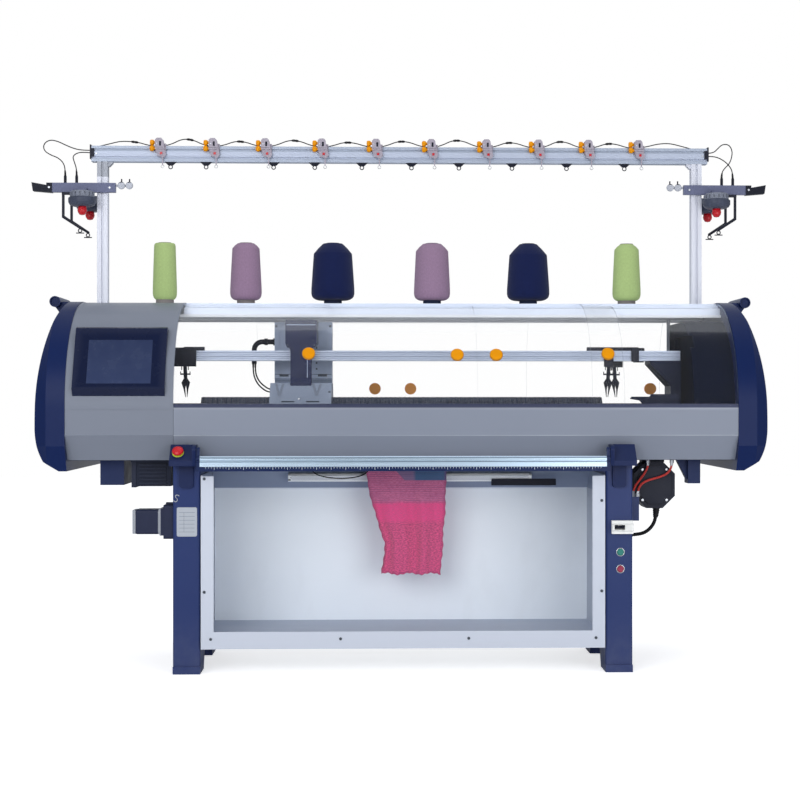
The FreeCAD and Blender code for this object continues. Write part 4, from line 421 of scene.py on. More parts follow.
def finish(name, maker, *values):
    """A named finish, made once."""
    if name not in FINISHES:
        FINISHES[name] = maker(name, *values).material
    return FINISHES[name]


def screw_steel():
    return finish("screw_steel", drawn_metal, (0.46, 0.48, 0.52), "X", 0.3, 0.8)


def black_plastic():
    return finish("black_plastic", pebbled, settings(PlasticSettings).black, 0.42, 700.0)


def lamp_red():
    return finish("lamp_red", pebbled, settings(PlasticSettings).red, 0.16, 300.0, 0.0001, 0.5)


def dress(node, material):
    """Gives a CAD node its finish."""
    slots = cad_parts[node].material_slots
    for slot in slots:
        slot.material = material
    if not slots:
        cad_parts[node].data.materials.append(material)


# --- mesh helpers
def placed(name, data):
    """A new object in the scene."""
    made = bpy.data.objects.new(name, data)
    bpy.context.scene.collection.objects.link(made)
    return made


def piece(name, mesh, material, body="machine", smooth=False):
    """A finished piece in the scene, riding on its body."""
    made = placed(name, mesh)
    mesh.materials.clear()
    mesh.materials.append(material)
    if smooth:
        for face in mesh.polygons:
            face.use_smooth = True
    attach(made, body)
    return made


def mesh_from(bm, name):
    mesh = bpy.data.meshes.new(name)
    bm.to_mesh(mesh)
    bm.free()
    return mesh


def mesh_of(bm, name):
    """The mesh with its doubles merged and its faces turned outwards."""
    bmesh.ops.remove_doubles(bm, verts=bm.verts, dist=1e-6)
    bmesh.ops.recalc_face_normals(bm, faces=bm.faces)
    return mesh_from(bm, name)


def add_block(bm, low, high, bevel=0.0):
    """A block between two corners, with its edges broken."""
    made = bmesh.ops.create_cube(bm, size=1.0)
    size = Vector(high) - Vector(low)
    middle = (Vector(high) + Vector(low)) / 2
    for vert in made["verts"]:
        vert.co = Vector(c * s for c, s in zip(vert.co, size)) + middle
    if bevel:
        edges = {edge for vert in made["verts"] for edge in vert.link_edges}
        bmesh.ops.bevel(bm, geom=list(edges), offset=bevel, segments=2, affect="EDGES", profile=0.6)


def round_of(steps):
    return [2 * math.pi * step / steps for step in range(steps)]


def add_rings(bm, rings, steps):
    """Walls from ring to ring; a ring of one point closes to a pole."""
    for low, high in zip(rings, rings[1:]):
        for step in range(steps):
            follow = (step + 1) % steps
            corners = list(dict.fromkeys((low[step % len(low)], low[follow % len(low)],
                                          high[follow % len(high)], high[step % len(high)])))
            if len(corners) > 2:
                bm.faces.new(corners)


def add_turned(bm, profile, place, turn=(0.0, 0.0, 0.0), steps=24):
    """A turned piece from (radius, height) points, turned and put in place."""
    shift = Matrix.Translation(Vector(place)) @ Euler(turn).to_matrix().to_4x4()
    add_rings(bm, [[bm.verts.new(shift @ Vector((radius * math.cos(a), radius * math.sin(a), height)))
                    for a in (round_of(steps) if radius > 1e-7 else (0.0,))] for radius, height in profile], steps)


def add_slab(bm, front, back):
    """A plate between two outlines of as many points."""
    front, back = [bm.verts.new(spot) for spot in front], [bm.verts.new(spot) for spot in back]
    bm.faces.new(front)
    bm.faces.new(back[::-1])
    for step in range(len(front)):
        follow = (step + 1) % len(front)
        bm.faces.new((front[follow], front[step], back[step], back[follow]))


FACING = {"front": (math.pi / 2, 0.0, 0.0), "up": (0.0, 0.0, 0.0)}


def repeat_tree(name):
    """Geometry nodes that put one part on every given point, turned one way."""
    tree = bpy.data.node_groups.new(name, "GeometryNodeTree")
    for label, kind in (("Points", "Geometry"), ("Part", "Object"), ("Turn", "Rotation"), ("Size", "Vector"),
                        ("Finish", "Material")):
        tree.interface.new_socket(label, in_out="INPUT", socket_type="NodeSocket" + kind)
    tree.interface.new_socket("Result", in_out="OUTPUT", socket_type="NodeSocketGeometry")
    given = tree.nodes.new("NodeGroupInput").outputs
    points = wired(tree, "GeometryNodeMeshToPoints", {"Mesh": given["Points"]})
    part = wired(tree, "GeometryNodeObjectInfo", {"Object": given["Part"]})
    spread = wired(tree, "GeometryNodeInstanceOnPoints", {
        "Points": points.outputs[0], "Instance": part.outputs["Geometry"],
        "Rotation": given["Turn"], "Scale": given["Size"]})
    real = wired(tree, "GeometryNodeRealizeInstances", {0: spread.outputs[0]})
    coat = wired(tree, "GeometryNodeSetMaterial", {"Geometry": real.outputs[0], "Material": given["Finish"]})
    wired(tree, "NodeGroupOutput", {0: coat.outputs[0]})
    return tree


def baked(made):
    """A plain mesh of an object as its curve or its modifiers make it."""
    return bpy.data.meshes.new_from_object(made.evaluated_get(bpy.context.evaluated_depsgraph_get()))


def repeated(name, bm, places, facing, material, body="machine"):
    """One mesh with the part at every place, facing one way."""
    tree = bpy.data.node_groups.get("repeat_part") or repeat_tree("repeat_part")
    points = bpy.data.meshes.new(name + "_points")
    points.from_pydata([tuple(p) for p in places], [], [])
    holder = placed(name + "_holder", points)
    part = placed(name + "_part", mesh_of(bm, name + "_part"))
    modifier = holder.modifiers.new("repeat", "NODES")
    modifier.node_group = tree
    ids = {item.name: item.identifier for item in tree.interface.items_tree
           if item.item_type == "SOCKET" and item.in_out == "INPUT"}
    for label, value in (("Part", part), ("Turn", FACING[facing]), ("Size", (1, 1, 1)), ("Finish", material)):
        modifier[ids[label]] = value
    mesh = baked(holder)
    mesh.name = name
    holder.modifiers.remove(modifier)
    bpy.data.objects.remove(holder)
    bpy.data.objects.remove(part)
    return piece(name, mesh, material, body)


def built(name, bm, material, body="machine", smooth=False):
    return piece(name, mesh_of(bm, name), material, body, smooth)


# --- stage
SENSOR = 36.0
PICTURE_SIDE, FOCUS, SIDEWAYS = 800.0, 1641.0, -26.5       # in points of the picture
CAMERA_X, CAMERA_Z, CAMERA_TURN = -0.10, 0.95, math.radians(-1.8)
# name, place, aim, size and power
LAMPS = (("key", (-2.2, -5.2, 2.3), (0.0, 0.0, 0.8), 3.0, 120.0),
         ("fill", (2.4, -5.0, 0.9), (0.0, 0.0, 0.45), 3.0, 100.0),
         ("top", (0.0, 0.6, 4.4), (0.0, 0.0, 1.0), 3.6, 40.0))
FLOOR_HALF, FLOOR_Z = 14.0, -0.0005


class KNIT_OT_stage(bpy.types.Operator):
    """Camera, floor, lamps and world for the machine"""

    bl_idname = "knit.stage"
    bl_label = "Stage"

    def execute(self, context):
        scene = context.scene
        scene.view_settings.view_transform = "Standard"
        camera = placed("camera", bpy.data.cameras.new("camera"))
        camera.location = (CAMERA_X, FRONT_Y - settings(SizeSettings).eye, CAMERA_Z)
        camera.rotation_euler = (math.pi / 2, 0.0, CAMERA_TURN)
        camera.data.sensor_width = SENSOR
        camera.data.lens = FOCUS / PICTURE_SIDE * SENSOR
        camera.data.shift_x = SIDEWAYS / PICTURE_SIDE
        camera.data.clip_end = 60.0
        scene.camera = camera
        self.world(scene)
        self.floor()
        for lamp in LAMPS:
            self.lamp(*lamp)
        return {"FINISHED"}

    def lamp(self, name, place, aim, size, power):
        data = bpy.data.lights.new(name, "AREA")
        data.shape, data.size, data.energy = "SQUARE", size, power
        made = placed(name, data)
        made.location = place
        made.rotation_euler = (Vector(aim) - Vector(place)).to_track_quat("-Z", "Y").to_euler()

    def world(self, scene):
        """Brighter from above than below, so that metal reads; seen directly, it is white."""
        scene.world = bpy.data.worlds.new("studio")
        scene.world.use_nodes = True
        tree = scene.world.node_tree
        tree.nodes.clear()
        path = wired(tree, "ShaderNodeLightPath").outputs
        place = wired(tree, "ShaderNodeTexCoord").outputs["Generated"]
        parts = wired(tree, "ShaderNodeSeparateXYZ", {0: place}).outputs
        rise = wired(tree, "ShaderNodeMapRange", {0: parts["Z"], 1: -0.35, 2: 0.7, 3: 0.16, 4: 0.62})
        # what mirrors the far side of the studio sees it nearly white
        behind = wired(tree, "ShaderNodeMapRange", {0: parts["Y"], 1: 0.30, 2: 0.75, 3: 0.0, 4: 1.0})
        mirrored = wired(tree, "ShaderNodeMath", {0: behind.outputs[0], 1: path["Is Glossy Ray"]},
                         operation="MULTIPLY")
        strength = wired(tree, "ShaderNodeMath", {0: rise.outputs[0], 1: mirrored.outputs[0]},
                         operation="MAXIMUM")
        light = wired(tree, "ShaderNodeBackground", {"Color": (0.93, 0.96, 1.0), "Strength": strength.outputs[0]})
        seen = wired(tree, "ShaderNodeBackground", {"Color": (1.0, 1.0, 1.0)})
        either = wired(tree, "ShaderNodeMath", {0: path["Is Camera Ray"], 1: path["Is Transmission Ray"]},
                       operation="MAXIMUM")
        pick = wired(tree, "ShaderNodeMixShader", {0: either.outputs[0], 1: light.outputs[0], 2: seen.outputs[0]})
        wired(tree, "ShaderNodeOutputWorld", {0: pick.outputs[0]})

    def floor(self):
        bm = bmesh.new()
        bm.faces.new([bm.verts.new((x * FLOOR_HALF, y * FLOOR_HALF, FLOOR_Z))
                      for x, y in ((-1, -1), (1, -1), (1, 1), (-1, 1))])
        mesh = mesh_of(bm, "floor")
        material = bpy.data.materials.new("studio_floor")
        material.use_nodes = True
        tree = material.node_tree
        tree.nodes.clear()
        seen = wired(tree, "ShaderNodeLightPath").outputs["Is Camera Ray"]
        matte = wired(tree, "ShaderNodeBsdfDiffuse", {"Color": (0.86, 0.86, 0.87)})
        glow = wired(tree, "ShaderNodeEmission", {"Color": (0.62, 0.62, 0.62), "Strength": seen})
        both = wired(tree, "ShaderNodeAddShader", {0: matte.outputs[0], 1: glow.outputs[0]})
        wired(tree, "ShaderNodeOutputMaterial", {0: both.outputs[0]})
        mesh.materials.append(material)
        placed("floor", mesh)


# --- finishes of the frame's nodes
FRONT_KNOBS = (-0.331, 0.188, 0.325, 0.717)
REAR_KNOBS = (-1.066, -0.100, 0.042, 1.006)
KNOB_ANGLE = math.radians(28.0)
REAR_KNOB_Z = 0.995
KNOB_MIDDLE = 0.0105                           # from the sheet out to the knob's middle
BLACK_NODES = ("yarn_feeder_1", "yarn_feeder_2", "yarn_feeder_3", "rail_fittings", "racking_drive",
               "breaker_lever", "feeder_arms")


def knob_place(kind, number, outer):
    """The middle of a cover's knob."""
    reach = outer + KNOB_MIDDLE
    if kind == "front":
        return (FRONT_KNOBS[number - 1], FRONT_AXIS.y - reach * math.cos(KNOB_ANGLE),
                FRONT_AXIS.z + reach * math.sin(KNOB_ANGLE))
    return (REAR_KNOBS[number - 1], REAR_AXIS.y + reach, REAR_KNOB_Z)


def side_bar_finish(name):
    """Steel-blue arms with black end blocks and black plugs on top."""
    made = drawn_metal(name, (0.125, 0.138, 0.225), "X", 0.42, 0.12)
    reach = made.calc("ABSOLUTE", made.axis("X"))
    black = made.most(made.remap(reach, 1.3225, 1.3235), made.past("Z", 1.7743, 1.7747))
    made.paint(made.cloudy(3.0, 3.0, 0.08))
    made.over(made.remap(reach, 1.0825, 1.0835, 1.0, 0.0), (0.42, 0.44, 0.50))
    made.over(black, (0.008, 0.010, 0.020))
    made.feed("Metallic", made.remap(black, 0.0, 1.0, 0.12, 0.0))
    return made


def drum_finish(name):
    """Mid grey slotted tops over dark, wide bodies."""
    made = Finish(name, (0.060, 0.070, 0.105), 0.38)
    tone = made.noise(24.0, 4.0)
    made.paint(made.shade(tone, 0.2))
    made.over(made.past("Z", 1.7155, 1.7165), made.mix(tone, (0.15, 0.165, 0.21), (0.23, 0.25, 0.31)))
    made.bump(made.noise(500.0, 2.0), 0.2, 0.0002)
    return made


def bar_finish(name):
    """Drawn alloy start bar with three dark grooves, over a navy scale strip."""
    made = drawn_metal(name, (0.43, 0.54, 0.65), "X", 0.28, 0.8)
    low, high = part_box("start_bar")
    ends = made.remap(made.calc("ABSOLUTE", made.axis("X")), 0.6995, 0.7003)
    dark = made.most(made.before("Z", low.z + 0.0155, low.z + 0.0161), ends)
    made.paint(made.cloudy(3.0, 3.0, 0.05))
    for share, reach in ((0.40, 0.0012), (0.56, 0.0022), (0.84, 0.0010)):
        z = low.z + (high.z - low.z) * share
        made.over(made.within("Z", z - reach, z + reach, 0.0003), (0.14, 0.19, 0.25))
    made.over(dark, (0.010, 0.020, 0.072))
    made.feed("Metallic", made.remap(dark, 0.0, 1.0, 0.8, 0.0))
    return made


def track_finish(name):
    """Dark lower tracks with a pale lip along the front edge, and pale upper tracks."""
    made = drawn_metal(name, (0.045, 0.052, 0.095), "X", 0.4, 0.3)
    made.paint(made.cloudy(3.0, 3.0, 0.08))
    made.over(made.within("Z", 0.9165, 0.9235), (0.24, 0.26, 0.31))
    made.over(made.past("Z", 1.10, 1.11), (0.66, 0.72, 0.84))
    return made


def top_rail_finish(name):
    """Drawn rail with darker bands along its upper and lower edges."""
    made = drawn_metal(name, (0.44, 0.49, 0.61), "X", 0.42, 0.2)
    made.paint(made.cloudy(3.0, 3.0, 0.06))
    made.over(made.most(made.within("Z", 1.8972, 1.9185), made.within("Z", 1.8565, 1.8715)), (0.38, 0.43, 0.53))
    return made


def post_finish(name):
    """Drawn posts; the left one has a grey sleeve under the rail."""
    made = drawn_metal(name, (0.64, 0.66, 0.74), "Z", 0.45, 0.2)
    made.paint(made.cloudy(3.0, 3.0, 0.05))
    made.over(made.times(made.within("Z", 1.800, 1.858), made.before("X", -0.02, 0.02)), (0.34, 0.36, 0.41))
    return made


def frame_finish(name):
    """Dark casting; the boxes that hang at its two ends are navy."""
    made = pebbled(name, settings(PaintSettings).casting, 0.48, 500.0)
    low = made.before("Z", 0.7365, 0.7375)
    boxes = made.most(made.times(low, made.before("X", -0.935, -0.930)), made.times(low, made.past("X", 0.80, 0.81)))
    made.paint(made.cloudy(2.2, 4.0, 0.12))
    made.over(boxes, (0.016, 0.026, 0.080))
    return made


def bin_finish(name):
    """Pale bin; its front flanges are greyer, and its floor, side walls and upper panel are greyer as painted shade.
    """
    made = painted(name, settings(PaintSettings).bin, 0.45, 0.03)
    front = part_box("fabric_bin")[0].y
    stains = made.remap(made.noise(7.0, 6.0, (1.0, 1.0, 0.5)), 0.55, 0.75)
    made.paint(made.cloudy(1.6, 5.0, 0.05))
    # upward faces such as the floor are greyer: painted shade
    made.over(made.remap(made.facing("Z"), 0.6, 0.8), (0.50, 0.55, 0.66))
    # side walls are greyer: painted shade
    made.over(made.remap(made.calc("ABSOLUTE", made.facing("X")), 0.6, 0.8), (0.46, 0.50, 0.59))
    # upper panel under the bed is darker blue-grey: painted shade
    made.over(made.past("Z", 0.6200, 0.6225), (0.26, 0.31, 0.43))
    made.over(made.times(stains, 0.10), (0.52, 0.55, 0.58))
    made.over(made.before("Y", front + 0.010, front + 0.030), (0.54, 0.58, 0.67))
    return made


def skirt_finish(name):
    """Painted lower covers with a painted highlight along the fold: a paler line, broken up by noise."""
    made = painted(name, settings(PaintSettings).grey, 0.42)
    wear_and_highlight = made.remap(made.noise(3.0, 5.0, (1.0, 0.1, 0.1)), 0.35, 0.65, 0.25, 0.8)
    # the paler line along the fold is a painted highlight, not wear
    made.over(made.times(made.within("Z", 0.8255, 0.8280, 0.0008), wear_and_highlight), (0.46, 0.50, 0.56))
    return made


def cap_finish(name):
    """Navy moulding outside; the housing inside the right end is near black with a pale strip."""
    made = pebbled(name, settings(PaintSettings).navy, 0.38)
    inner = made.remap(made.calc("ABSOLUTE", made.axis("X")), 1.1690, 1.1696, 1.0, 0.0)
    made.paint(made.cloudy(2.2, 4.0, 0.12))
    made.over(inner, (0.0015, 0.004, 0.016))
    made.over(made.times(inner, made.before("X", 1.0236, 1.0239)), (0.30, 0.33, 0.40))
    made.feed("Specular IOR Level", made.remap(inner, 0.0, 1.0, 0.12, 0.01))
    made.rough(made.remap(inner, 0.0, 1.0, 0.38, 0.8))
    return made


def motor_finish(name):
    """Dark motor with a thin silver flange and a pale end plate."""
    made = Finish(name, (0.020, 0.025, 0.055), 0.4)
    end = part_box("take_down_motor")[0].x
    made.paint(made.cloudy(30.0, 4.0, 0.1))
    made.over(made.most(made.within("X", -0.8530, -0.8440), made.before("X", end + 0.010, end + 0.011)),
              (0.30, 0.32, 0.36))
    made.bump(made.noise(420.0, 2.0), 0.18, 0.0002)
    return made


def tower_finish(name):
    """Grey tower; the cable elbow on its left is black."""
    made = pebbled(name, toned(settings(PaintSettings).carriage, 1.95), 0.4, 800.0)
    made.paint(made.cloudy(5.0, 5.0, 0.14))
    made.over(made.before("X", -0.4722, -0.4716), (0.009, 0.011, 0.020))
    return made


def tube_finish(name):
    """Paper tubes: the three in the middle are dark."""
    made = pebbled(name, (0.22, 0.20, 0.20), 0.8, 300.0)
    made.paint(made.cloudy(9.0, 4.0, 0.15))
    made.over(made.times(made.past("X", -0.42, -0.41), made.before("X", 0.64, 0.65)), (0.022, 0.030, 0.062))
    return made


def screen_finish(name):
    """The switched-off touch screen: slate blue glass with faint finger marks."""
    made = Finish(name, (0.026, 0.040, 0.100), 0.2, Coat_Weight=0.05, Coat_Roughness=0.05)
    low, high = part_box("touch_screen")
    marks = made.remap(made.noise(22.0, 6.0), 0.45, 0.65)
    made.paint(made.mix(made.past("Z", low.z, high.z), (0.027, 0.040, 0.100), (0.021, 0.032, 0.082)))
    made.over(made.times(marks, 0.06), (0.09, 0.12, 0.19))
    made.rough(made.remap(marks, 0.0, 1.0, 0.14, 0.3))
    return made


class KNIT_OT_finishes(bpy.types.Operator):
    """Gives every piece of the frame its finish"""

    bl_idname = "knit.finishes"
    bl_label = "Finishes"

    def execute(self, context):
        paint, plastic = settings(PaintSettings), settings(PlasticSettings)
        button = (0.3, 900.0, 0.0001, 0.3)
        for nodes, name, maker, *values in (
                ("left_end_cap right_end_cap", "navy_moulding", cap_finish),
                ("bar_brackets", "navy_paint", pebbled, toned(paint.navy, 0.8), 0.4),
                ("left_leg right_leg", "leg_paint", painted, paint.leg, 0.34),
                ("skirts", "cover_paint", skirt_finish),
                ("control_cover", "panel_paint", painted, toned(paint.grey, 0.84), 0.42),
                ("bed_frame", "casting_paint", frame_finish),
                ("fabric_bin", "bin_paint", bin_finish),
                ("yarn_table", "table_paint", painted, paint.table, 0.3),
                ("cover_tracks", "track_alloy", track_finish),
                ("feeder_rails", "rail_alloy", drawn_metal, (0.40, 0.45, 0.56), "X", 0.36, 0.4),
                ("top_rail", "top_alloy", top_rail_finish),
                ("posts", "post_alloy", post_finish),
                ("side_bars", "arm_alloy", side_bar_finish),
                ("work_lamp", "lamp_channel", drawn_metal, (0.90, 0.94, 1.0), "X", 0.42, 0.0),
                ("screen_bezel", "bezel_gloss", pebbled, toned(paint.navy, 0.42), 0.25, 1200.0, 0.0001, 0.1),
                ("touch_screen", "screen_glass", screen_finish),
                ("front_needle_bed rear_needle_bed", "needle_steel", bed_steel),
                ("main_motor", "motor_grey", pebbled, (0.012, 0.017, 0.038), 0.42, 600.0),
                ("take_down_motor", "motor_black", motor_finish),
                ("storage_feeders", "drum_black", drum_finish),
                ("carriage_tower", "tower_paint", tower_finish),
                ("cam_covers", "carriage_paint", pebbled, paint.carriage, 0.4, 800.0),
                ("carriage_arm", "arm_paint", pebbled, (0.008, 0.013, 0.050), 0.30, 700.0, 0.00025, 0.1),
                ("drive_belt take_down_roller pressure_roller", "black_rubber", pebbled,
                 (0.016, 0.016, 0.018), 0.62, 500.0),
                ("drive_pulley idler_pulley", "turned_steel", drawn_metal, (0.50, 0.52, 0.55), "Y", 0.28, 0.9),
                ("start_bar", "bar_alloy", bar_finish),
                ("stop_button", "stop_red", pebbled, plastic.red, *button),
                ("off_button", "off_red", pebbled, (0.26, 0.02, 0.055), *button),
                ("start_button", "start_green", pebbled, plastic.green, *button),
                ("breaker", "breaker_white", pebbled, (0.72, 0.73, 0.72), 0.4),
                ("yarn_sensors", "sensor_grey", pebbled, plastic.lilac, 0.4),
                ("sensor_caps", "cap_orange", pebbled, plastic.orange, 0.38),
                ("cone_tubes", "paper_tube", tube_finish)):
            for node in nodes.split():
                dress(node, finish(name, maker, *values))
        for node in BLACK_NODES:
            dress(node, black_plastic())
        dress("warning_lamps", lamp_red())
        self.covers()
        return {"FINISHED"}

    def covers(self):
        """Each clear cover knows its own knob."""
        for number in range(1, 5):
            for kind, radius in (("front", COVER_RADIUS), ("rear", REAR_RADIUS)):
                node = kind + "_cover_" + str(number)
                outer = radius - (0.0 if number in FRONT_OUTER else TRACK_STEP)
                dress(node, finish(node + "_clear", clear_cover, kind, outer, knob_place(kind, number, outer)))


# --- yarn packages
# x, widest radius, shoulder radius, top radius and yarn
CONES = ((-0.887, 0.045, 0.040, 0.036, "lime"), (-0.584, 0.059, 0.051, 0.033, "mauve"),
         (-0.258, 0.081, 0.072, 0.038, "navy"), (0.115, 0.068, 0.061, 0.036, "mauve"),
         (0.478, 0.080, 0.071, 0.034, "navy"), (0.851, 0.053, 0.046, 0.027, "lime"))
CONE_Y = depth(0.480)
CONE_HEIGHT = 0.232
TUBE_LOW, TUBE_HIGH = 0.0336, 0.0241           # radii of the tapered tube
WOUND_AROUND, WOUND_UP = 4.0, 10.0             # how the yarn's pattern is stretched


class KNIT_OT_cones(bpy.types.Operator):
    """Six packages of yarn wound on tapered tubes"""

    bl_idname = "knit.cones"
    bl_label = "Yarn packages"

    def execute(self, context):
        yarn = settings(YarnSettings)
        for number, (x, wide, shoulder, top, tone) in enumerate(CONES, 1):
            material = finish("yarn_" + tone, yarn_finish, getattr(yarn, tone))
            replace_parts(self.package(number, x, wide, shoulder, top, material), "yarn_cones")
        return {"FINISHED"}

    def package(self, number, x, wide, shoulder, top, material):
        h, turn = CONE_HEIGHT, 2 * math.pi
        fall = max(0.012, (shoulder - top) * 1.25)
        rows = [(TUBE_LOW, 0.0165), (wide * 0.70, 0.0172), (wide * 0.80, 0.0195), (wide * 0.91, 0.0250),
                (wide * 0.97, 0.0315), (wide, 0.042), (wide * 0.998, 0.060),
                (wide + (shoulder - wide) * 0.5, 0.5 * (0.060 + h - fall)), (shoulder, h - fall),
                (shoulder * 0.985, h - fall * 0.93), (top + (shoulder - top) * 0.5, h - fall * 0.48),
                (top * 1.03, h - 0.0050), (top * 0.95, h - 0.0026), (TUBE_HIGH, h - 0.0022)]
        bm = bmesh.new()
        foot = Vector((x, CONE_Y, DECK_Z))
        add_turned(bm, rows, foot, steps=96)
        layer = bm.loops.layers.uv.new("wound")
        for face in bm.faces:
            middle = face.calc_center_median() - foot
            heading = math.atan2(middle.y, middle.x)
            for loop in face.loops:
                spot = loop.vert.co - foot
                angle = math.atan2(spot.y, spot.x)
                angle -= turn * round((angle - heading) / turn)
                loop[layer].uv = (angle * wide * WOUND_AROUND, spot.z * WOUND_UP)
        bmesh.ops.recalc_face_normals(bm, faces=bm.faces)
        return piece("yarn_package_" + str(number), mesh_from(bm, "package"), material, smooth=True)


# --- knitted panel
# height, left edge, right edge and depth of the folds
KNIT_ROWS = ((0.952, -0.134, 0.163, 0.0), (0.705, -0.134, 0.163, 0.0), (0.684, -0.132, 0.162, 0.002),
             (0.625, -0.123, 0.160, 0.007), (0.513, -0.093, 0.154, 0.013), (0.431, -0.064, 0.148, 0.015),
             (0.357, -0.070, 0.144, 0.014), (0.3135, -0.076, 0.140, 0.012))
# size as a share of the folds' depth, waves across, waves for each metre down, and shift
FOLDS = ((0.7, 2.3, 0.0, 0.6), (0.245, 4.1, 0.0, 0.0), (0.05, 9.0, 3.0, 0.0))
PANEL_ACROSS, PANEL_DOWN = 110, 150
RAGGED = ((0.0030, 17.0, 0.0), (0.0016, 61.0, 1.0))        # height, waves and shift of the hem's edge
PANEL_D, PANEL_THICKNESS = 0.300, 0.0012
SIDE_SHARE = 0.06                              # of the width, that curls at either side
FULL_FOLD = 0.010                              # depth of fold from which the sides curl fully
HEM = 0.030                                    # height of the ragged hem
HEM_CURL, SIDE_CURL, SIDE_WANDER, HEM_LIFT = 0.010, 0.006, 0.0017, 0.002


def between(rows, z):
    """The panel's left edge, right edge and fold depth at a height."""
    for high, low in zip(rows, rows[1:]):
        if low[0] <= z <= high[0]:
            share = (high[0] - z) / (high[0] - low[0])
            return [a + (b - a) * share for a, b in zip(high[1:], low[1:])]
    return list(rows[-1][1:])


class KNIT_OT_panel(bpy.types.Operator):
    """The knitted panel that hangs from the take-down rollers"""

    bl_idname = "knit.panel"
    bl_label = "Knitted panel"

    def execute(self, context):
        top, foot = KNIT_ROWS[0][0], KNIT_ROWS[-1][0]
        bm = bmesh.new()
        layer = bm.loops.layers.uv.new("cloth")
        grid, flat = [], {}
        for row in range(PANEL_DOWN + 1):
            z = top + (foot - top) * row / PANEL_DOWN
            left, right, wave = between(KNIT_ROWS, z)
            curled = min(1.0, wave / FULL_FOLD)
            hem = max(0.0, 1.0 - (z - foot) / HEM)
            grid.append([])
            for step in range(PANEL_ACROSS + 1):
                share = step / PANEL_ACROSS
                fold = wave * sum(size * math.sin(2 * math.pi * (waves * share + along * z) + shift)
                                  for size, waves, along, shift in FOLDS)
                side = max(0.0, 1.0 - share / SIDE_SHARE) - max(0.0, 1.0 - (1.0 - share) / SIDE_SHARE)
                wander = math.sin(47.0 * z + 2.0 * side) + 0.8 * math.sin(163.0 * z + side)
                ragged = hem * sum(size * math.sin(waves * share + shift) for size, waves, shift in RAGGED)
                curl = HEM_CURL * hem ** 2 + SIDE_CURL * side ** 2 * curled
                vert = bm.verts.new((left + (right - left) * share + SIDE_WANDER * curled * wander * side,
                                     depth(PANEL_D) + fold - 0.2 * wave - curl, z + ragged + HEM_LIFT * hem))
                flat[vert] = (PANEL_WIDTH * share, z - foot)
                grid[-1].append(vert)
        for upper, lower in zip(grid, grid[1:]):
            for step in range(PANEL_ACROSS):
                bm.faces.new((upper[step], lower[step], lower[step + 1], upper[step + 1]))
        for face in bm.faces:
            for loop in face.loops:
                loop[layer].uv = flat[loop.vert]
        made = piece("knitted_panel", mesh_from(bm, "panel"), finish("knit", knit_finish), smooth=True)
        made.data.uv_layers.active = made.data.uv_layers["cloth"]
        solid = made.modifiers.new("thickness", "SOLIDIFY")
        solid.thickness = PANEL_THICKNESS
        solid.offset = 0.0
        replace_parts(made, "knit_panel")
        return {"FINISHED"}


# --- cords
# Routes are (x, d, z) in millimetres; d lies behind the front of the covers.
SENSOR_X = (-920.0, -717.0, -518.0, -303.0, -96.0, 115.0, 326.0, 525.0, 717.0, 909.0)
RAIL_HALF, RAIL_D, LEAD_LOW = 1179.0, 617.0, 1921.0
LEAD_LIFTS = (30.0, 22.0, 27.0, 20.0, 25.0)
LINKS_X = (-1.022, -0.806, -0.613, -0.405, -0.204, 0.0, 0.212, 0.417, 0.613, 0.802)
# a cord's length comes before its route
DROP_LEADS = (
    (1, 243, [(0, 600, 103), (21, 600, 103), (38, 598, 119), (56, 595, 137), (81, 590, 135),
              (93, 586, 111), (90, 582, 84), (79, 577, 58), (59, 572, 40), (48, 570, 22), (48, 570, 0)]),
    (1, 153, [(0, 597, 90), (24, 597, 90), (48, 596, 82), (70, 594, 67), (85, 587, 48),
              (91, 574, 27), (91, 570, 0)]),
    (-1, 359, [(0, 600, 103), (36, 600, 103), (68, 603, 111), (98, 604, 124), (127, 604, 138),
               (157, 602, 143), (179, 597, 125), (175, 590, 99), (149, 584, 82), (120, 578, 71),
               (99, 574, 52), (91, 570, 26), (91, 570, 0)]),
    (-1, 152, [(0, 597, 93), (24, 596, 95), (48, 589, 92), (66, 581, 77), (57, 575, 52),
               (48, 570, 27), (48, 570, 0)]))
CARRIAGE_CABLES = (
    (152, [(-554, 440, 1085), (-554, 440, 1059), (-549, 437, 1033), (-536, 432, 1009),
           (-516, 425, 990), (-495, 420, 979), (-474.5, 420, 979)]),
    (138, [(-546, 440, 1085), (-546, 440, 1061), (-541, 436, 1037), (-528, 429, 1016),
           (-508, 420, 999), (-490, 413, 989), (-474.5, 413, 989)]))
# the (x, d) of a hose's two ends, then shares of the way between them with their heights
HOSES = (
    (205, (955, 104), (829, 78), [(0, 737), (0, 717), (0.06, 699), (0.167, 686), (0.394, 675),
                                  (0.622, 669), (0.83, 659), (0.939, 646), (1, 628), (1, 608)]),
    (149, (870, 104), (813, 79), [(0, 737), (0, 717), (0.13, 698), (0.483, 672), (0.87, 647),
                                  (1, 628), (1, 608)]))
BUNDLE = [(912, 180, 564.5), (912, 180, 522.5), (891, 180, 485.5), (854, 180, 464.5), (797.5, 180, 464.5)]
LAMP_LEAD = [(-330, 140, 737), (-330, 140, 710), (-314, 139, 688), (-282, 137, 677), (-246, 136, 672),
             (-208, 135, 671), (-170, 136, 675), (-136, 138, 685), (-116, 140, 708), (-116, 140, 737)]
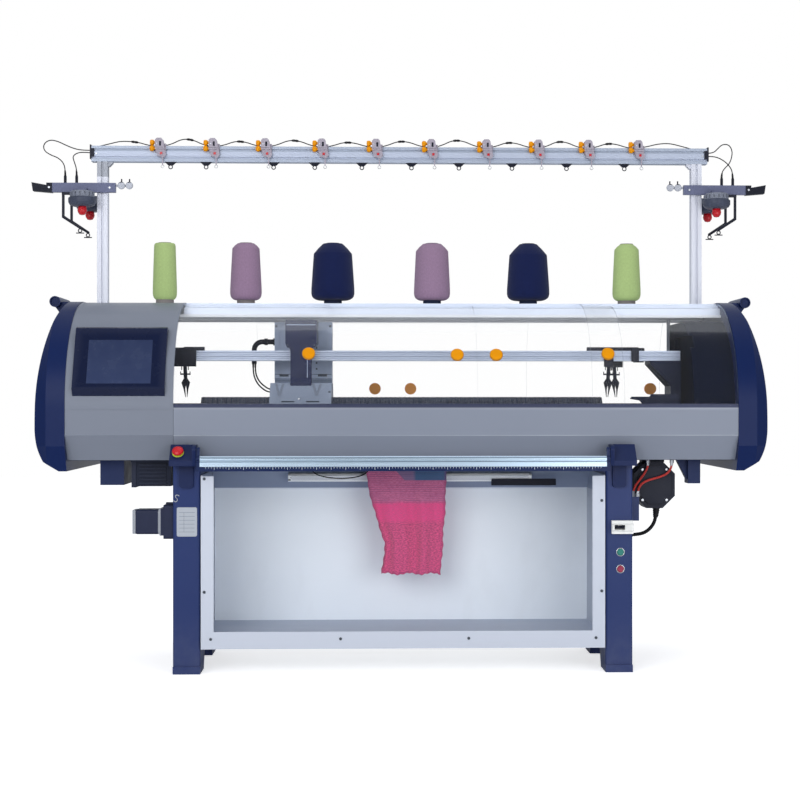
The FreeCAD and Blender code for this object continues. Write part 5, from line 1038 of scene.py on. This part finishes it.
# radii in millimetres along the pieces that sit on the cords
LINK = (2.3, 4.0, 4.6, 4.6, 3.8, 4.6, 4.6, 4.0, 2.3)
RELIEF = (4.6, 4.6, 3.6, 4.4, 3.3, 4.0, 2.9, 3.6, 2.5)
CABLE_RELIEF = (3.7, 3.7, 3.3, 3.6, 3.1)
HOSE_NUTS = ((0.0002, 0.011, (7.6, 7.6)), (-0.011, -0.0002, (7.6, 7.6)),
             (0.0112, 0.020, (5.6, 5.4, 5.0)), (-0.020, -0.0112, (5.0, 5.4, 5.6)))
GLANDS = ((0.0002, 0.036, (14, 14, 11, 13, 10.4, 12, 9.6, 11, 8.8, 9.8)),
          (-0.022, -0.0002, (8.6, 10.4, 9.4, 12, 12)))
SLEEVE_STEP, SLEEVE = 0.0016, (0.0070, 0.0070, 0.0060, 0.0060)


def sensor_route():
    """From unit to unit along the top rail, rising in a small loop between each two."""
    d, low = RAIL_D, LEAD_LOW
    first, last = SENSOR_X[0], SENSOR_X[-1]
    points = [(-RAIL_HALF + 24, d, low), (-RAIL_HALF + 66, d, low + 10),
              (-RAIL_HALF + 108, d + 1, low + 21), (first - 88, d + 1, low + 17), (first - 46, d, low + 4)]
    for index, (x, following) in enumerate(zip(SENSOR_X, SENSOR_X[1:])):
        lift, pitch = LEAD_LIFTS[index % len(LEAD_LIFTS)], following - x
        points += [(x + pitch * share, d + back, low + lift * rise) for share, back, rise in (
            (0.0, 0, 0.0), (0.2, 0, 0.3), (0.4, 1, 1.0), (0.6, 1, 0.9), (0.8, 0, 0.25))]
    return points + [(last, d, low), (last + 44, d, low + 9), (last + 88, d + 1, low + 20),
                     (last + 132, d + 1, low + 22), (last + 178, d, low + 10), (last + 216, d, low)]


def in_metres(points):
    return [Vector((x / 1000, depth(d / 1000), z / 1000)) for x, d, z in points]


def cord_curve(name, points, diameter):
    """One smooth curve through a route's points, round where it has a diameter."""
    curve = bpy.data.curves.new(name, "CURVE")
    curve.dimensions = "3D"
    curve.bevel_depth = diameter / 2
    curve.bevel_resolution = 4
    curve.resolution_u = 8
    curve.use_fill_caps = True
    line = curve.splines.new("NURBS")
    line.points.add(len(points) - 1)
    for spot, place in zip(line.points, points):
        spot.co = (*place, 1.0)
    line.order_u = 3
    line.use_endpoint_u = True
    return placed(name, curve)


def line_of(points):
    """The places along a route's smooth curve."""
    made = cord_curve("route", points, 0.0)
    places = [vert.co.copy() for vert in baked(made).vertices]
    bpy.data.objects.remove(made)
    return places


def stretch_of(places, start, stop, count):
    """Evenly spaced places between two lengths along a line; a negative one counts from its end."""
    reach = [0.0]
    for first, second in zip(places, places[1:]):
        reach.append(reach[-1] + (second - first).length)
    start, stop = (value + reach[-1] if value < 0 else value for value in (start, stop))
    found, at_step = [], 0
    for index in range(count):
        want = min(max(start + (stop - start) * index / (count - 1), 0.0), reach[-1])
        while at_step < len(places) - 2 and reach[at_step + 1] < want:
            at_step += 1
        span = max(1e-9, reach[at_step + 1] - reach[at_step])
        found.append(places[at_step].lerp(places[at_step + 1], (want - reach[at_step]) / span))
    return found


def length_of(places):
    return sum((second - first).length for first, second in zip(places, places[1:]))


def add_sweep(bm, places, radii, steps=14):
    """A closed round tube through places, with a radius at each."""
    side = (places[1] - places[0]).normalized().orthogonal().normalized()
    rings = []
    for index, place in enumerate(places):
        ahead = (places[min(index + 1, len(places) - 1)] - places[max(index - 1, 0)]).normalized()
        side = (side - ahead * side.dot(ahead)).normalized()
        up = ahead.cross(side)
        rings.append([bm.verts.new(place + (side * math.cos(a) + up * math.sin(a)) * radii[index])
                      for a in round_of(steps)])
    add_rings(bm, rings, steps)
    bm.faces.new(rings[0][::-1])
    bm.faces.new(rings[-1])


def sleeves(name, line, spans, material, body="machine", steps=14):
    """Pieces that sit on a cord: each a stretch of its line with its own radii in millimetres."""
    bm = bmesh.new()
    for start, stop, radii in spans:
        add_sweep(bm, stretch_of(line, start, stop, len(radii)), [r / 1000 for r in radii], steps)
    return built(name, bm, material, body, smooth=steps > 8)


class KNIT_OT_cords(bpy.types.Operator):
    """Leads of the yarn stand, carriage cables, air hoses, the cable bundle and the lamp's lead"""

    bl_idname = "knit.cords"
    bl_label = "Cords"

    def execute(self, context):
        black = finish("lead_black", pebbled, (0.012, 0.012, 0.015), 0.42, 900.0)
        red = finish("hose_red", pebbled, settings(PlasticSettings).hose, 0.34, 900.0)
        steel = finish("fitting_steel", drawn_metal, (0.42, 0.44, 0.48), "Z", 0.3, 0.8)
        self.stand_lead(black)
        for number, (side, length, places) in enumerate(DROP_LEADS, 1):
            route = in_metres([(side * (RAIL_HALF + 5 + out), d, 1800 + up) for out, d, up in places])
            relief = sleeves("drop_relief_" + str(number), line_of(route), [(-0.022, -0.0002, RELIEF[::-1])], black)
            self.lay("drop_lead_" + str(number), route, 4.0, length, black, "sensor_lead", relief)
        for number, (length, places) in enumerate(CARRIAGE_CABLES, 1):
            route = in_metres(places)
            relief = sleeves("cable_relief_" + str(number), line_of(route), [(0.0002, 0.014, CABLE_RELIEF)], black,
                             "carriage")
            self.lay("carriage_cable_" + str(number), route, 5.5, length, black, "carriage_hose", relief, "carriage")
        for number, (length, start, foot, profile) in enumerate(HOSES, 1):
            route = in_metres([(*((1 - share) * a + share * b for a, b in zip(start, foot)), z)
                               for share, z in profile])
            nuts = sleeves("hose_nuts_" + str(number), line_of(route), HOSE_NUTS, steel, steps=6)
            self.lay("air_hose_" + str(number), route, 8.0, length, red, "service_lines", nuts)
        self.bundle(black)
        route = in_metres(LAMP_LEAD)
        relief = sleeves("lamp_lead_relief", line_of(route), [(0.0002, 0.020, RELIEF)], black)
        self.lay("lamp_lead", route, 4.0, 292, black, "service_lines", relief)
        return {"FINISHED"}

    def lay(self, name, route, diameter, length, material, node, fitting, body="machine"):
        made = cord_curve(name, route, diameter / 1000)
        made.data.materials.append(material)
        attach(made, body)
        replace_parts(made, node)

    def stand_lead(self, black):
        """The lead along the top rail, with a link at each of its low places."""
        route = in_metres(sensor_route())
        line = line_of(route)
        spots = []
        for x in LINKS_X:
            near = min(range(len(line)), key=lambda step: abs(line[step].x - x))
            spots.append(length_of(line[:near + 1]))
        links = sleeves("lead_links", line, [(spot - 0.014, spot + 0.014, LINK) for spot in spots], black)
        self.lay("stand_lead", route, 4.0, 2346, black, "sensor_lead", links)

    def bundle(self, black):
        """The cable bundle's corrugated sleeve with a gland at each end."""
        line = line_of(in_metres(BUNDLE))
        total = length_of(line)
        count = int(total / SLEEVE_STEP)
        places = stretch_of(line, 0.0, total, count)
        bm = bmesh.new()
        add_sweep(bm, places, [SLEEVE[step % len(SLEEVE)] for step in range(count)], 18)
        made = built("cable_bundle", bm, finish("bundle_black", pebbled, (0.010, 0.010, 0.012), 0.5, 600.0))
        glands = sleeves("bundle_glands", line, GLANDS, black, steps=16)
        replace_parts(made, "service_lines")


# --- places on the frame's faces
FACES = {}
IN_FRONT = -0.9                                # a Y before every face
RELIEF_ROOT = 0.0015                           # how far a thin plate reaches into its face


def land(x, z, node):
    """The first place that a line from the front meets on a node."""
    if node not in FACES:
        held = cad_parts[node]
        FACES[node] = BVHTree.FromPolygons([held.matrix_world @ vert.co for vert in held.data.vertices],
                                           [tuple(face.vertices) for face in held.data.polygons])
    spot = FACES[node].ray_cast(Vector((x, IN_FRONT, z)), Vector((0.0, 1.0, 0.0)))[0]
    if spot is None:
        raise ValueError("no face at " + str((x, z)) + " on " + node)
    return spot


def add_relief(bm, outline, rise, node):
    """A thin plate that follows a face: its outline's (x, z) points stand a little proud of it."""
    spots = [land(x, z, node) for x, z in outline]
    add_slab(bm, *([spot + Vector((0.0, reach, 0.0)) for spot in spots] for reach in (-rise, RELIEF_ROOT)))


def oblong(x0, x1, z0, z1):
    return [(x0, z0), (x1, z0), (x1, z1), (x0, z1)]


def ring_places(middle, radius, steps=22):
    """A round of places in an upright plane that faces the front; the last is the first again."""
    return [Vector(middle) + Vector((math.cos(a), 0.0, math.sin(a))) * radius
            for a in round_of(steps) + [2 * math.pi]]


# --- needles
NEEDLE_BED_HALF = 0.728
BED_D, BED_TOP, BED_GAP = 0.300, 0.960, 0.005  # where the two slopes meet, and half the gap between them
NEEDLE_HALF = 0.00045
# (along the slope, above it) in millimetres, from the hook to the butt and the tail
NEEDLE = ((1.2, -0.3), (1.2, 3.3), (2.2, 3.9), (3.3, 3.4), (3.0, 2.7), (26.0, 2.95), (32.0, 5.35),
          (35.5, 5.35), (40.0, 2.95), (166.0, 2.95), (166.0, -0.3))


class KNIT_OT_needles(bpy.types.Operator):
    """Fine needles on both needle beds, with their butts and hooks"""

    bl_idname = "knit.needles"
    bl_label = "Needles"

    def execute(self, context):
        bright = finish("needle_bright", drawn_metal, (0.15, 0.165, 0.21), "X", 0.3, 0.7)
        pitch = settings(SizeSettings).stitch
        places = [(-NEEDLE_BED_HALF + pitch * (step + 0.5), 0.0, 0.0)
                  for step in range(int(2 * NEEDLE_BED_HALF / pitch))]
        slope = math.sqrt(0.5) / 1000
        for side, body, name in ((-1, "machine", "front_needles"), (1, "racking_bed", "rear_needles")):
            bm = bmesh.new()
            add_slab(bm, *([(x, depth(BED_D) + side * (BED_GAP + (along + above) * slope),
                             BED_TOP + (above - along) * slope) for along, above in NEEDLE]
                           for x in (-NEEDLE_HALF, NEEDLE_HALF)))
            repeated(name, bm, places, "up", bright, body)
        return {"FINISHED"}


# --- scale strip
SCALE_TOP = 0.0150                             # above the foot of the start bar
LONG_TICK = 1.8                                # times a short one
TICKS_EACH_SIDE = 68


class KNIT_OT_scale(bpy.types.Operator):
    """Plain ticks along the scale strip under the start bar"""

    bl_idname = "knit.scale"
    bl_label = "Scale ticks"

    def execute(self, context):
        pale = finish("tick_white", pebbled, (0.62, 0.70, 0.76), 0.5)
        sizes = settings(SizeSettings)
        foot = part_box("start_bar")[0].z
        face = land(0.0, foot + 0.008, "start_bar").y
        for name, long, reach in (("short_ticks", False, sizes.tick), ("long_ticks", True, sizes.tick * LONG_TICK)):
            places = [(step * sizes.tick_pitch, face, foot + SCALE_TOP)
                      for step in range(-TICKS_EACH_SIDE, TICKS_EACH_SIDE + 1) if (step % 5 == 0) == long]
            bm = bmesh.new()
            add_block(bm, (-0.0006, -0.0003, -reach), (0.0006, 0.0004, 0.0))
            repeated(name, bm, places, "up", pale, "start_rail")
        return {"FINISHED"}


# --- screws
# name, node, radius and rise in millimetres, and places
SCREWS = (
    ("bin_screws", "fabric_bin", 5.2, 2.6, ((-0.668, 0.122), (-0.219, 0.122), (0.226, 0.122), (0.670, 0.122),
                                            (-0.690, 0.677), (-0.690, 0.285), (0.690, 0.285), (0.690, 0.600))),
    ("box_screws", "racking_drive", 5.0, 2.6, ((0.853, 0.594), (0.939, 0.594), (0.853, 0.702), (0.939, 0.702))),
    ("arm_screws", "side_bars", 4.0, 2.0, ((-1.334, 1.756), (1.334, 1.756), (-1.106, 1.756), (1.106, 1.756))),
    ("rail_screws", "top_rail", 3.6, 2.0, ((-1.160, 1.888), (1.160, 1.888))),
    ("lamp_screws", "work_lamp", 2.6, 1.4, ((-0.410, 0.664), (0.470, 0.664))),
    ("cover_screws", "cam_covers", 4.2, 1.8, ((-0.370, 0.953),)),
)
SCREW_HEAD = ((0.0, 0.4), (0.42, 0.4), (0.5, 1.0), (0.86, 1.0), (1.0, 0.8), (1.0, -0.3), (0.0, -0.3))


class KNIT_OT_screws(bpy.types.Operator):
    """Recessed screws on the bin, the box, the arms, the rail, the lamp and the cam covers"""

    bl_idname = "knit.screws"
    bl_label = "Screws"

    def execute(self, context):
        dull = finish("screw_dark", pebbled, (0.07, 0.08, 0.10), 0.4)
        for name, node, radius, rise, spots in SCREWS:
            bm = bmesh.new()
            add_turned(bm, [(radius / 1000 * out, rise / 1000 * up) for out, up in SCREW_HEAD], (0, 0, 0), steps=12)
            repeated(name, bm, [land(x, z, node) for x, z in spots], "front",
                     dull if name == "bin_screws" else screw_steel(),
                     "carriage" if name == "cover_screws" else "machine")
        return {"FINISHED"}


# --- switches
STOP_RING = [(0.0125, 0.0), (0.0125, 0.0006), (0.0190, 0.0006), (0.0204, 0.0002), (0.0204, -0.0004),
             (0.0125, -0.0004), (0.0125, 0.0)]
STOP_PLACE = (-0.777, depth(-0.032), 0.768)
BUTTON_RING = [(0.0122, -0.001), (0.0122, 0.0028), (0.0132, 0.0034), (0.0146, 0.0030), (0.0152, 0.0),
               (0.0152, -0.001), (0.0122, -0.001)]
BUTTON_X, BUTTON_BESIDE, BUTTONS_Z = 0.757, 0.0145, (0.419, 0.360)


class KNIT_OT_switches(bpy.types.Operator):
    """Rings of the stop button and of the two buttons on the leg"""

    bl_idname = "knit.switches"
    bl_label = "Switch rings"

    def execute(self, context):
        bm = bmesh.new()
        add_turned(bm, STOP_RING, STOP_PLACE, (math.pi / 4, 0.0, 0.0), 40)
        built("stop_ring", bm, finish("ring_lime", pebbled, settings(PlasticSettings).lime, 0.4))
        bm = bmesh.new()
        for z in BUTTONS_Z:
            face = land(BUTTON_X + BUTTON_BESIDE, z, "right_leg").y
            add_turned(bm, BUTTON_RING, (BUTTON_X, face, z), FACING["front"], 36)
        built("button_rings", bm, finish("ring_silver", drawn_metal, (0.52, 0.54, 0.57), "X", 0.25, 0.85))
        return {"FINISHED"}


# --- bare plate and hook on the left leg
PLATE = (-0.786, -0.716, 0.477, 0.578)
PLATE_RISE = 0.0009
RIVET = [(0.0, 0.0011), (0.0012, 0.0009), (0.0019, 0.0), (0.0019, -0.0005), (0.0, -0.0005)]
HOOK = ((-0.7775, 0.6165), (-0.7800, 0.6205), (-0.7860, 0.6215), (-0.7915, 0.6175), (-0.7890, 0.6115),
        (-0.7845, 0.6080), (-0.7835, 0.6020), (-0.7880, 0.5975), (-0.7945, 0.5985), (-0.7965, 0.6030))
HOOK_RADIUS = 0.0014


class KNIT_OT_plate(bpy.types.Operator):
    """A plain ruled plate with four rivets, and a wire hook above it"""

    bl_idname = "knit.plate"
    bl_label = "Ruled plate"

    def execute(self, context):
        x0, x1, z0, z1 = PLATE
        bm = bmesh.new()
        add_relief(bm, [(x0 + 0.004, z0), (x1 - 0.004, z0), (x1, z0 + 0.004), (x1, z1 - 0.004),
                        (x1 - 0.004, z1), (x0 + 0.004, z1), (x0, z1 - 0.004), (x0, z0 + 0.004)],
                   PLATE_RISE, "left_leg")
        built("ruled_plate", bm, finish("plate_alloy", drawn_metal, (0.38, 0.41, 0.46), "X", 0.4, 0.3))
        bm = bmesh.new()
        for step in range(6):
            z = z1 - 0.018 - step * 0.0135
            add_relief(bm, oblong(x0 + 0.008, x1 - 0.008, z, z + 0.0008), 0.0011, "left_leg")
        add_relief(bm, oblong(x0 + 0.0245, x0 + 0.0252, z0 + 0.0155, z1 - 0.0180), 0.0012, "left_leg")
        built("plate_rules", bm, finish("rule_grey", pebbled, (0.05, 0.06, 0.08), 0.5))
        spots = [land(x, z, "left_leg") - Vector((0.0, PLATE_RISE, 0.0))
                 for x in (x0 + 0.006, x1 - 0.006) for z in (z0 + 0.006, z1 - 0.006)]
        bm = bmesh.new()
        add_turned(bm, RIVET, (0, 0, 0), steps=16)
        repeated("plate_rivets", bm, spots, "front", screw_steel())
        front = land(-0.785, 0.609, "left_leg").y - 0.0010
        bend = line_of([Vector((x, front, z)) for x, z in HOOK])
        bm = bmesh.new()
        add_sweep(bm, bend, [HOOK_RADIUS] * len(bend), 10)
        built("wire_hook", bm, screw_steel(), smooth=True)
        return {"FINISHED"}


# --- carriage
TOWER_BAND = (-0.4695, -0.2605, 1.020, 1.046)
TOWER_HOLES_X, TOWER_HOLES_Z = -0.3157, (1.228, 1.206, 1.180, 1.143, 1.087, 1.065)
ARM_MARKS = ((-0.413, 1.147), (-0.413, 1.229), (-0.317, 1.147), (-0.317, 1.229))
ARM_LINES = ((-0.4165, -0.3135, 1.2186, 1.2206), (-0.3432, -0.3416, 1.030, 1.134))
COVER_PIN_PLACE, TOWER_KNOBS = (-0.262, 0.978), ((-0.4650, 1.2235), (-0.2650, 1.2235))
WEDGES = ((-0.4405, 0.0175), (-0.3075, 0.0185))            # middle and half width, on the cam covers
HOLE = [(0.0, 0.0004), (0.0034, 0.0004), (0.0034, -0.0004), (0.0, -0.0004)]
COVER_PIN = [(0.0, 0.0022), (0.0030, 0.0020), (0.0044, 0.0008), (0.0044, -0.0010), (0.0, -0.0010)]
ARM_MARK = [(0.0, 0.0009), (0.0026, 0.0009), (0.0032, 0.0004), (0.0032, -0.0008), (0.0, -0.0008)]
TOWER_KNOB = [(0.0, 0.0050), (0.0025, 0.0044), (0.0043, 0.0025), (0.0050, 0.0), (0.0050, -0.001), (0.0, -0.001)]


class KNIT_OT_carriage(bpy.types.Operator):
    """Raised marks, dark discs that paint the shade in holes, and fine lines on the carriage; the raised wedges are
    a darker grey as painted shade
    """

    bl_idname = "knit.carriage"
    bl_label = "Carriage details"

    def execute(self, context):
        bm = bmesh.new()
        add_relief(bm, oblong(*TOWER_BAND), 0.0008, "carriage_tower")
        # dark discs on the tower stand in for holes: painted shade
        for z in TOWER_HOLES_Z:
            self.turned(bm, HOLE, TOWER_HOLES_X, z, "carriage_tower", 18)
        self.turned(bm, COVER_PIN, *COVER_PIN_PLACE, "cam_covers", 18)
        for x, z in ARM_MARKS:
            self.turned(bm, ARM_MARK, x, z, "carriage_arm", 16)
        self.put("carriage_marks", bm, "carriage_dark", 0.38, "arm_navy", 0.45)
        bm = bmesh.new()
        for line in ARM_LINES:
            add_relief(bm, oblong(*line), 0.0006, "carriage_arm")
        self.put("carriage_lines", bm, "carriage_pale", 2.1, "carriage_grey", 0.4)
        bm = bmesh.new()
        # the raised wedges, and the tower knobs with them, are a darker grey: painted shade, so that their relief
        # reads
        for middle, half in WEDGES:
            add_relief(bm, [(middle - half, 1.009), (middle - half + 0.009, 1.009), (middle, 0.979),
                            (middle + half - 0.009, 1.009), (middle + half, 1.009), (middle + 0.0045, 0.964),
                            (middle - 0.0045, 0.964)], 0.0022, "cam_covers")
        for x, z in TOWER_KNOBS:
            self.turned(bm, TOWER_KNOB, x, z, "carriage_tower", 20)
        self.put("carriage_relief", bm, "carriage_raised", 0.72, "carriage_grey", 0.4, 800.0)
        return {"FINISHED"}

    def turned(self, bm, profile, x, z, node, steps):
        add_turned(bm, profile, land(x, z, node), FACING["front"], steps)

    def put(self, name, bm, material, tone, slot, *values):
        """A piece on the carriage, in a tone of its grey."""
        grey = toned(settings(PaintSettings).carriage, tone)
        built(name, bm, finish(material, pebbled, grey, *values), "carriage")


# --- work lamp
RIDGES = (0.22, 0.36, 0.50, 0.64)              # shares of the lamp's height


class KNIT_OT_lamp(bpy.types.Operator):
    """Fine ridges and dark end pieces of the work lamp, and the black box on its right part"""

    bl_idname = "knit.lamp"
    bl_label = "Work lamp"

    def execute(self, context):
        low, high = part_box("work_lamp")
        bm = bmesh.new()
        for share in RIDGES:
            z = low.z + (high.z - low.z) * share
            add_relief(bm, oblong(low.x + 0.012, high.x - 0.012, z, z + 0.0012), 0.0012, "work_lamp")
        built("lamp_ridges", bm, finish("ridge_alloy", drawn_metal, (0.40, 0.45, 0.54), "X", 0.34, 0.5))
        bm = bmesh.new()
        for x0, x1 in ((low.x + 0.0005, low.x + 0.009), (high.x - 0.009, high.x - 0.0005)):
            add_relief(bm, oblong(x0, x1, low.z + 0.005, high.z - 0.004), 0.0016, "work_lamp")
        face = land(0.40, 0.652, "work_lamp").y
        add_block(bm, (0.331, face - 0.010, 0.634), (0.570, face + 0.016, 0.6585), 0.0015)
        built("lamp_black", bm, black_plastic())
        return {"FINISHED"}


# --- yarn stop units
UNIT_FRONT, UNIT_PLATE = depth(0.558), depth(0.564)
# two corners and a bevel
UNIT_KEY = ((0.0035, UNIT_PLATE - 0.0030, 1.8835), (0.0125, UNIT_PLATE + 0.0006, 1.8925), 0.0006)
UNIT_SEAMS = (((-0.0148, UNIT_FRONT - 0.0003, 1.9094), (0.0160, UNIT_FRONT + 0.0006, 1.9104), 0.0),
              ((0.0010, UNIT_FRONT - 0.0006, 1.9160), (0.0085, UNIT_FRONT + 0.0006, 1.9330), 0.0004))
WIRE_RING = ((0.013, depth(0.568), 1.8385), 0.0056)
WIRE_RADIUS = 0.0011
UNIT_SCREW = [(0.0, 0.0006), (0.0010, 0.0006), (0.0014, 0.0012), (0.0026, 0.0010), (0.0028, 0.0),
              (0.0028, -0.0006), (0.0, -0.0006)]
UNIT_SCREW_PLACE = (-0.0075, UNIT_FRONT, 1.9250)


class KNIT_OT_units(bpy.types.Operator):
    """Seams, small red keys, screws and wire rings of the yarn stop units"""

    bl_idname = "knit.units"
    bl_label = "Yarn stop units"

    def execute(self, context):
        keys, seams, wires = (bmesh.new() for _ in range(3))
        add_block(keys, *UNIT_KEY)
        for seam in UNIT_SEAMS:
            add_block(seams, *seam)
        ring = ring_places(*WIRE_RING)
        add_sweep(wires, ring, [WIRE_RADIUS] * len(ring), 8)
        add_turned(wires, UNIT_SCREW, UNIT_SCREW_PLACE, FACING["front"], 14)
        places = [(x / 1000, 0.0, 0.0) for x in SENSOR_X]
        for name, bm, material, slot in (("unit_keys", keys, lamp_red(), "lamp_red"),
                                         ("unit_seams", seams, black_plastic(), "lever_black"),
                                         ("unit_wires", wires, screw_steel(), "wheel_steel")):
            repeated(name, bm, places, "up", material)
        return {"FINISHED"}


# --- sidebar panel
class KNIT_PT_sidebar(bpy.types.Panel):
    bl_label = "Flat knitting machine"
    bl_space_type = "VIEW_3D"
    bl_region_type = "UI"
    bl_category = "Knitting"

    def draw(self, context):
        for operator in OPERATORS:
            self.layout.operator(operator.bl_idname)
        for group in GROUPS:
            box = self.layout.box()
            held = settings(group)
            for name in group.__annotations__:
                box.prop(held, name)


OPERATORS = (KNIT_OT_stage, KNIT_OT_cords, KNIT_OT_finishes, KNIT_OT_cones, KNIT_OT_panel, KNIT_OT_needles,
             KNIT_OT_scale, KNIT_OT_screws, KNIT_OT_switches, KNIT_OT_plate, KNIT_OT_carriage, KNIT_OT_lamp,
             KNIT_OT_units)


def register():
    for made in GROUPS + OPERATORS + (KNIT_PT_sidebar,):
        bpy.utils.register_class(made)
    for group in GROUPS:
        setattr(bpy.types.Scene, setting_name(group), bpy.props.PointerProperty(type=group))


def unregister():
    for group in GROUPS:
        delattr(bpy.types.Scene, setting_name(group))
    for made in reversed(GROUPS + OPERATORS + (KNIT_PT_sidebar,)):
        bpy.utils.unregister_class(made)


def main():
    register()
    for operator in OPERATORS:
        area, name = operator.bl_idname.split(".")
        getattr(getattr(bpy.ops, area), name)()


if __name__ == "__main__":
    main()
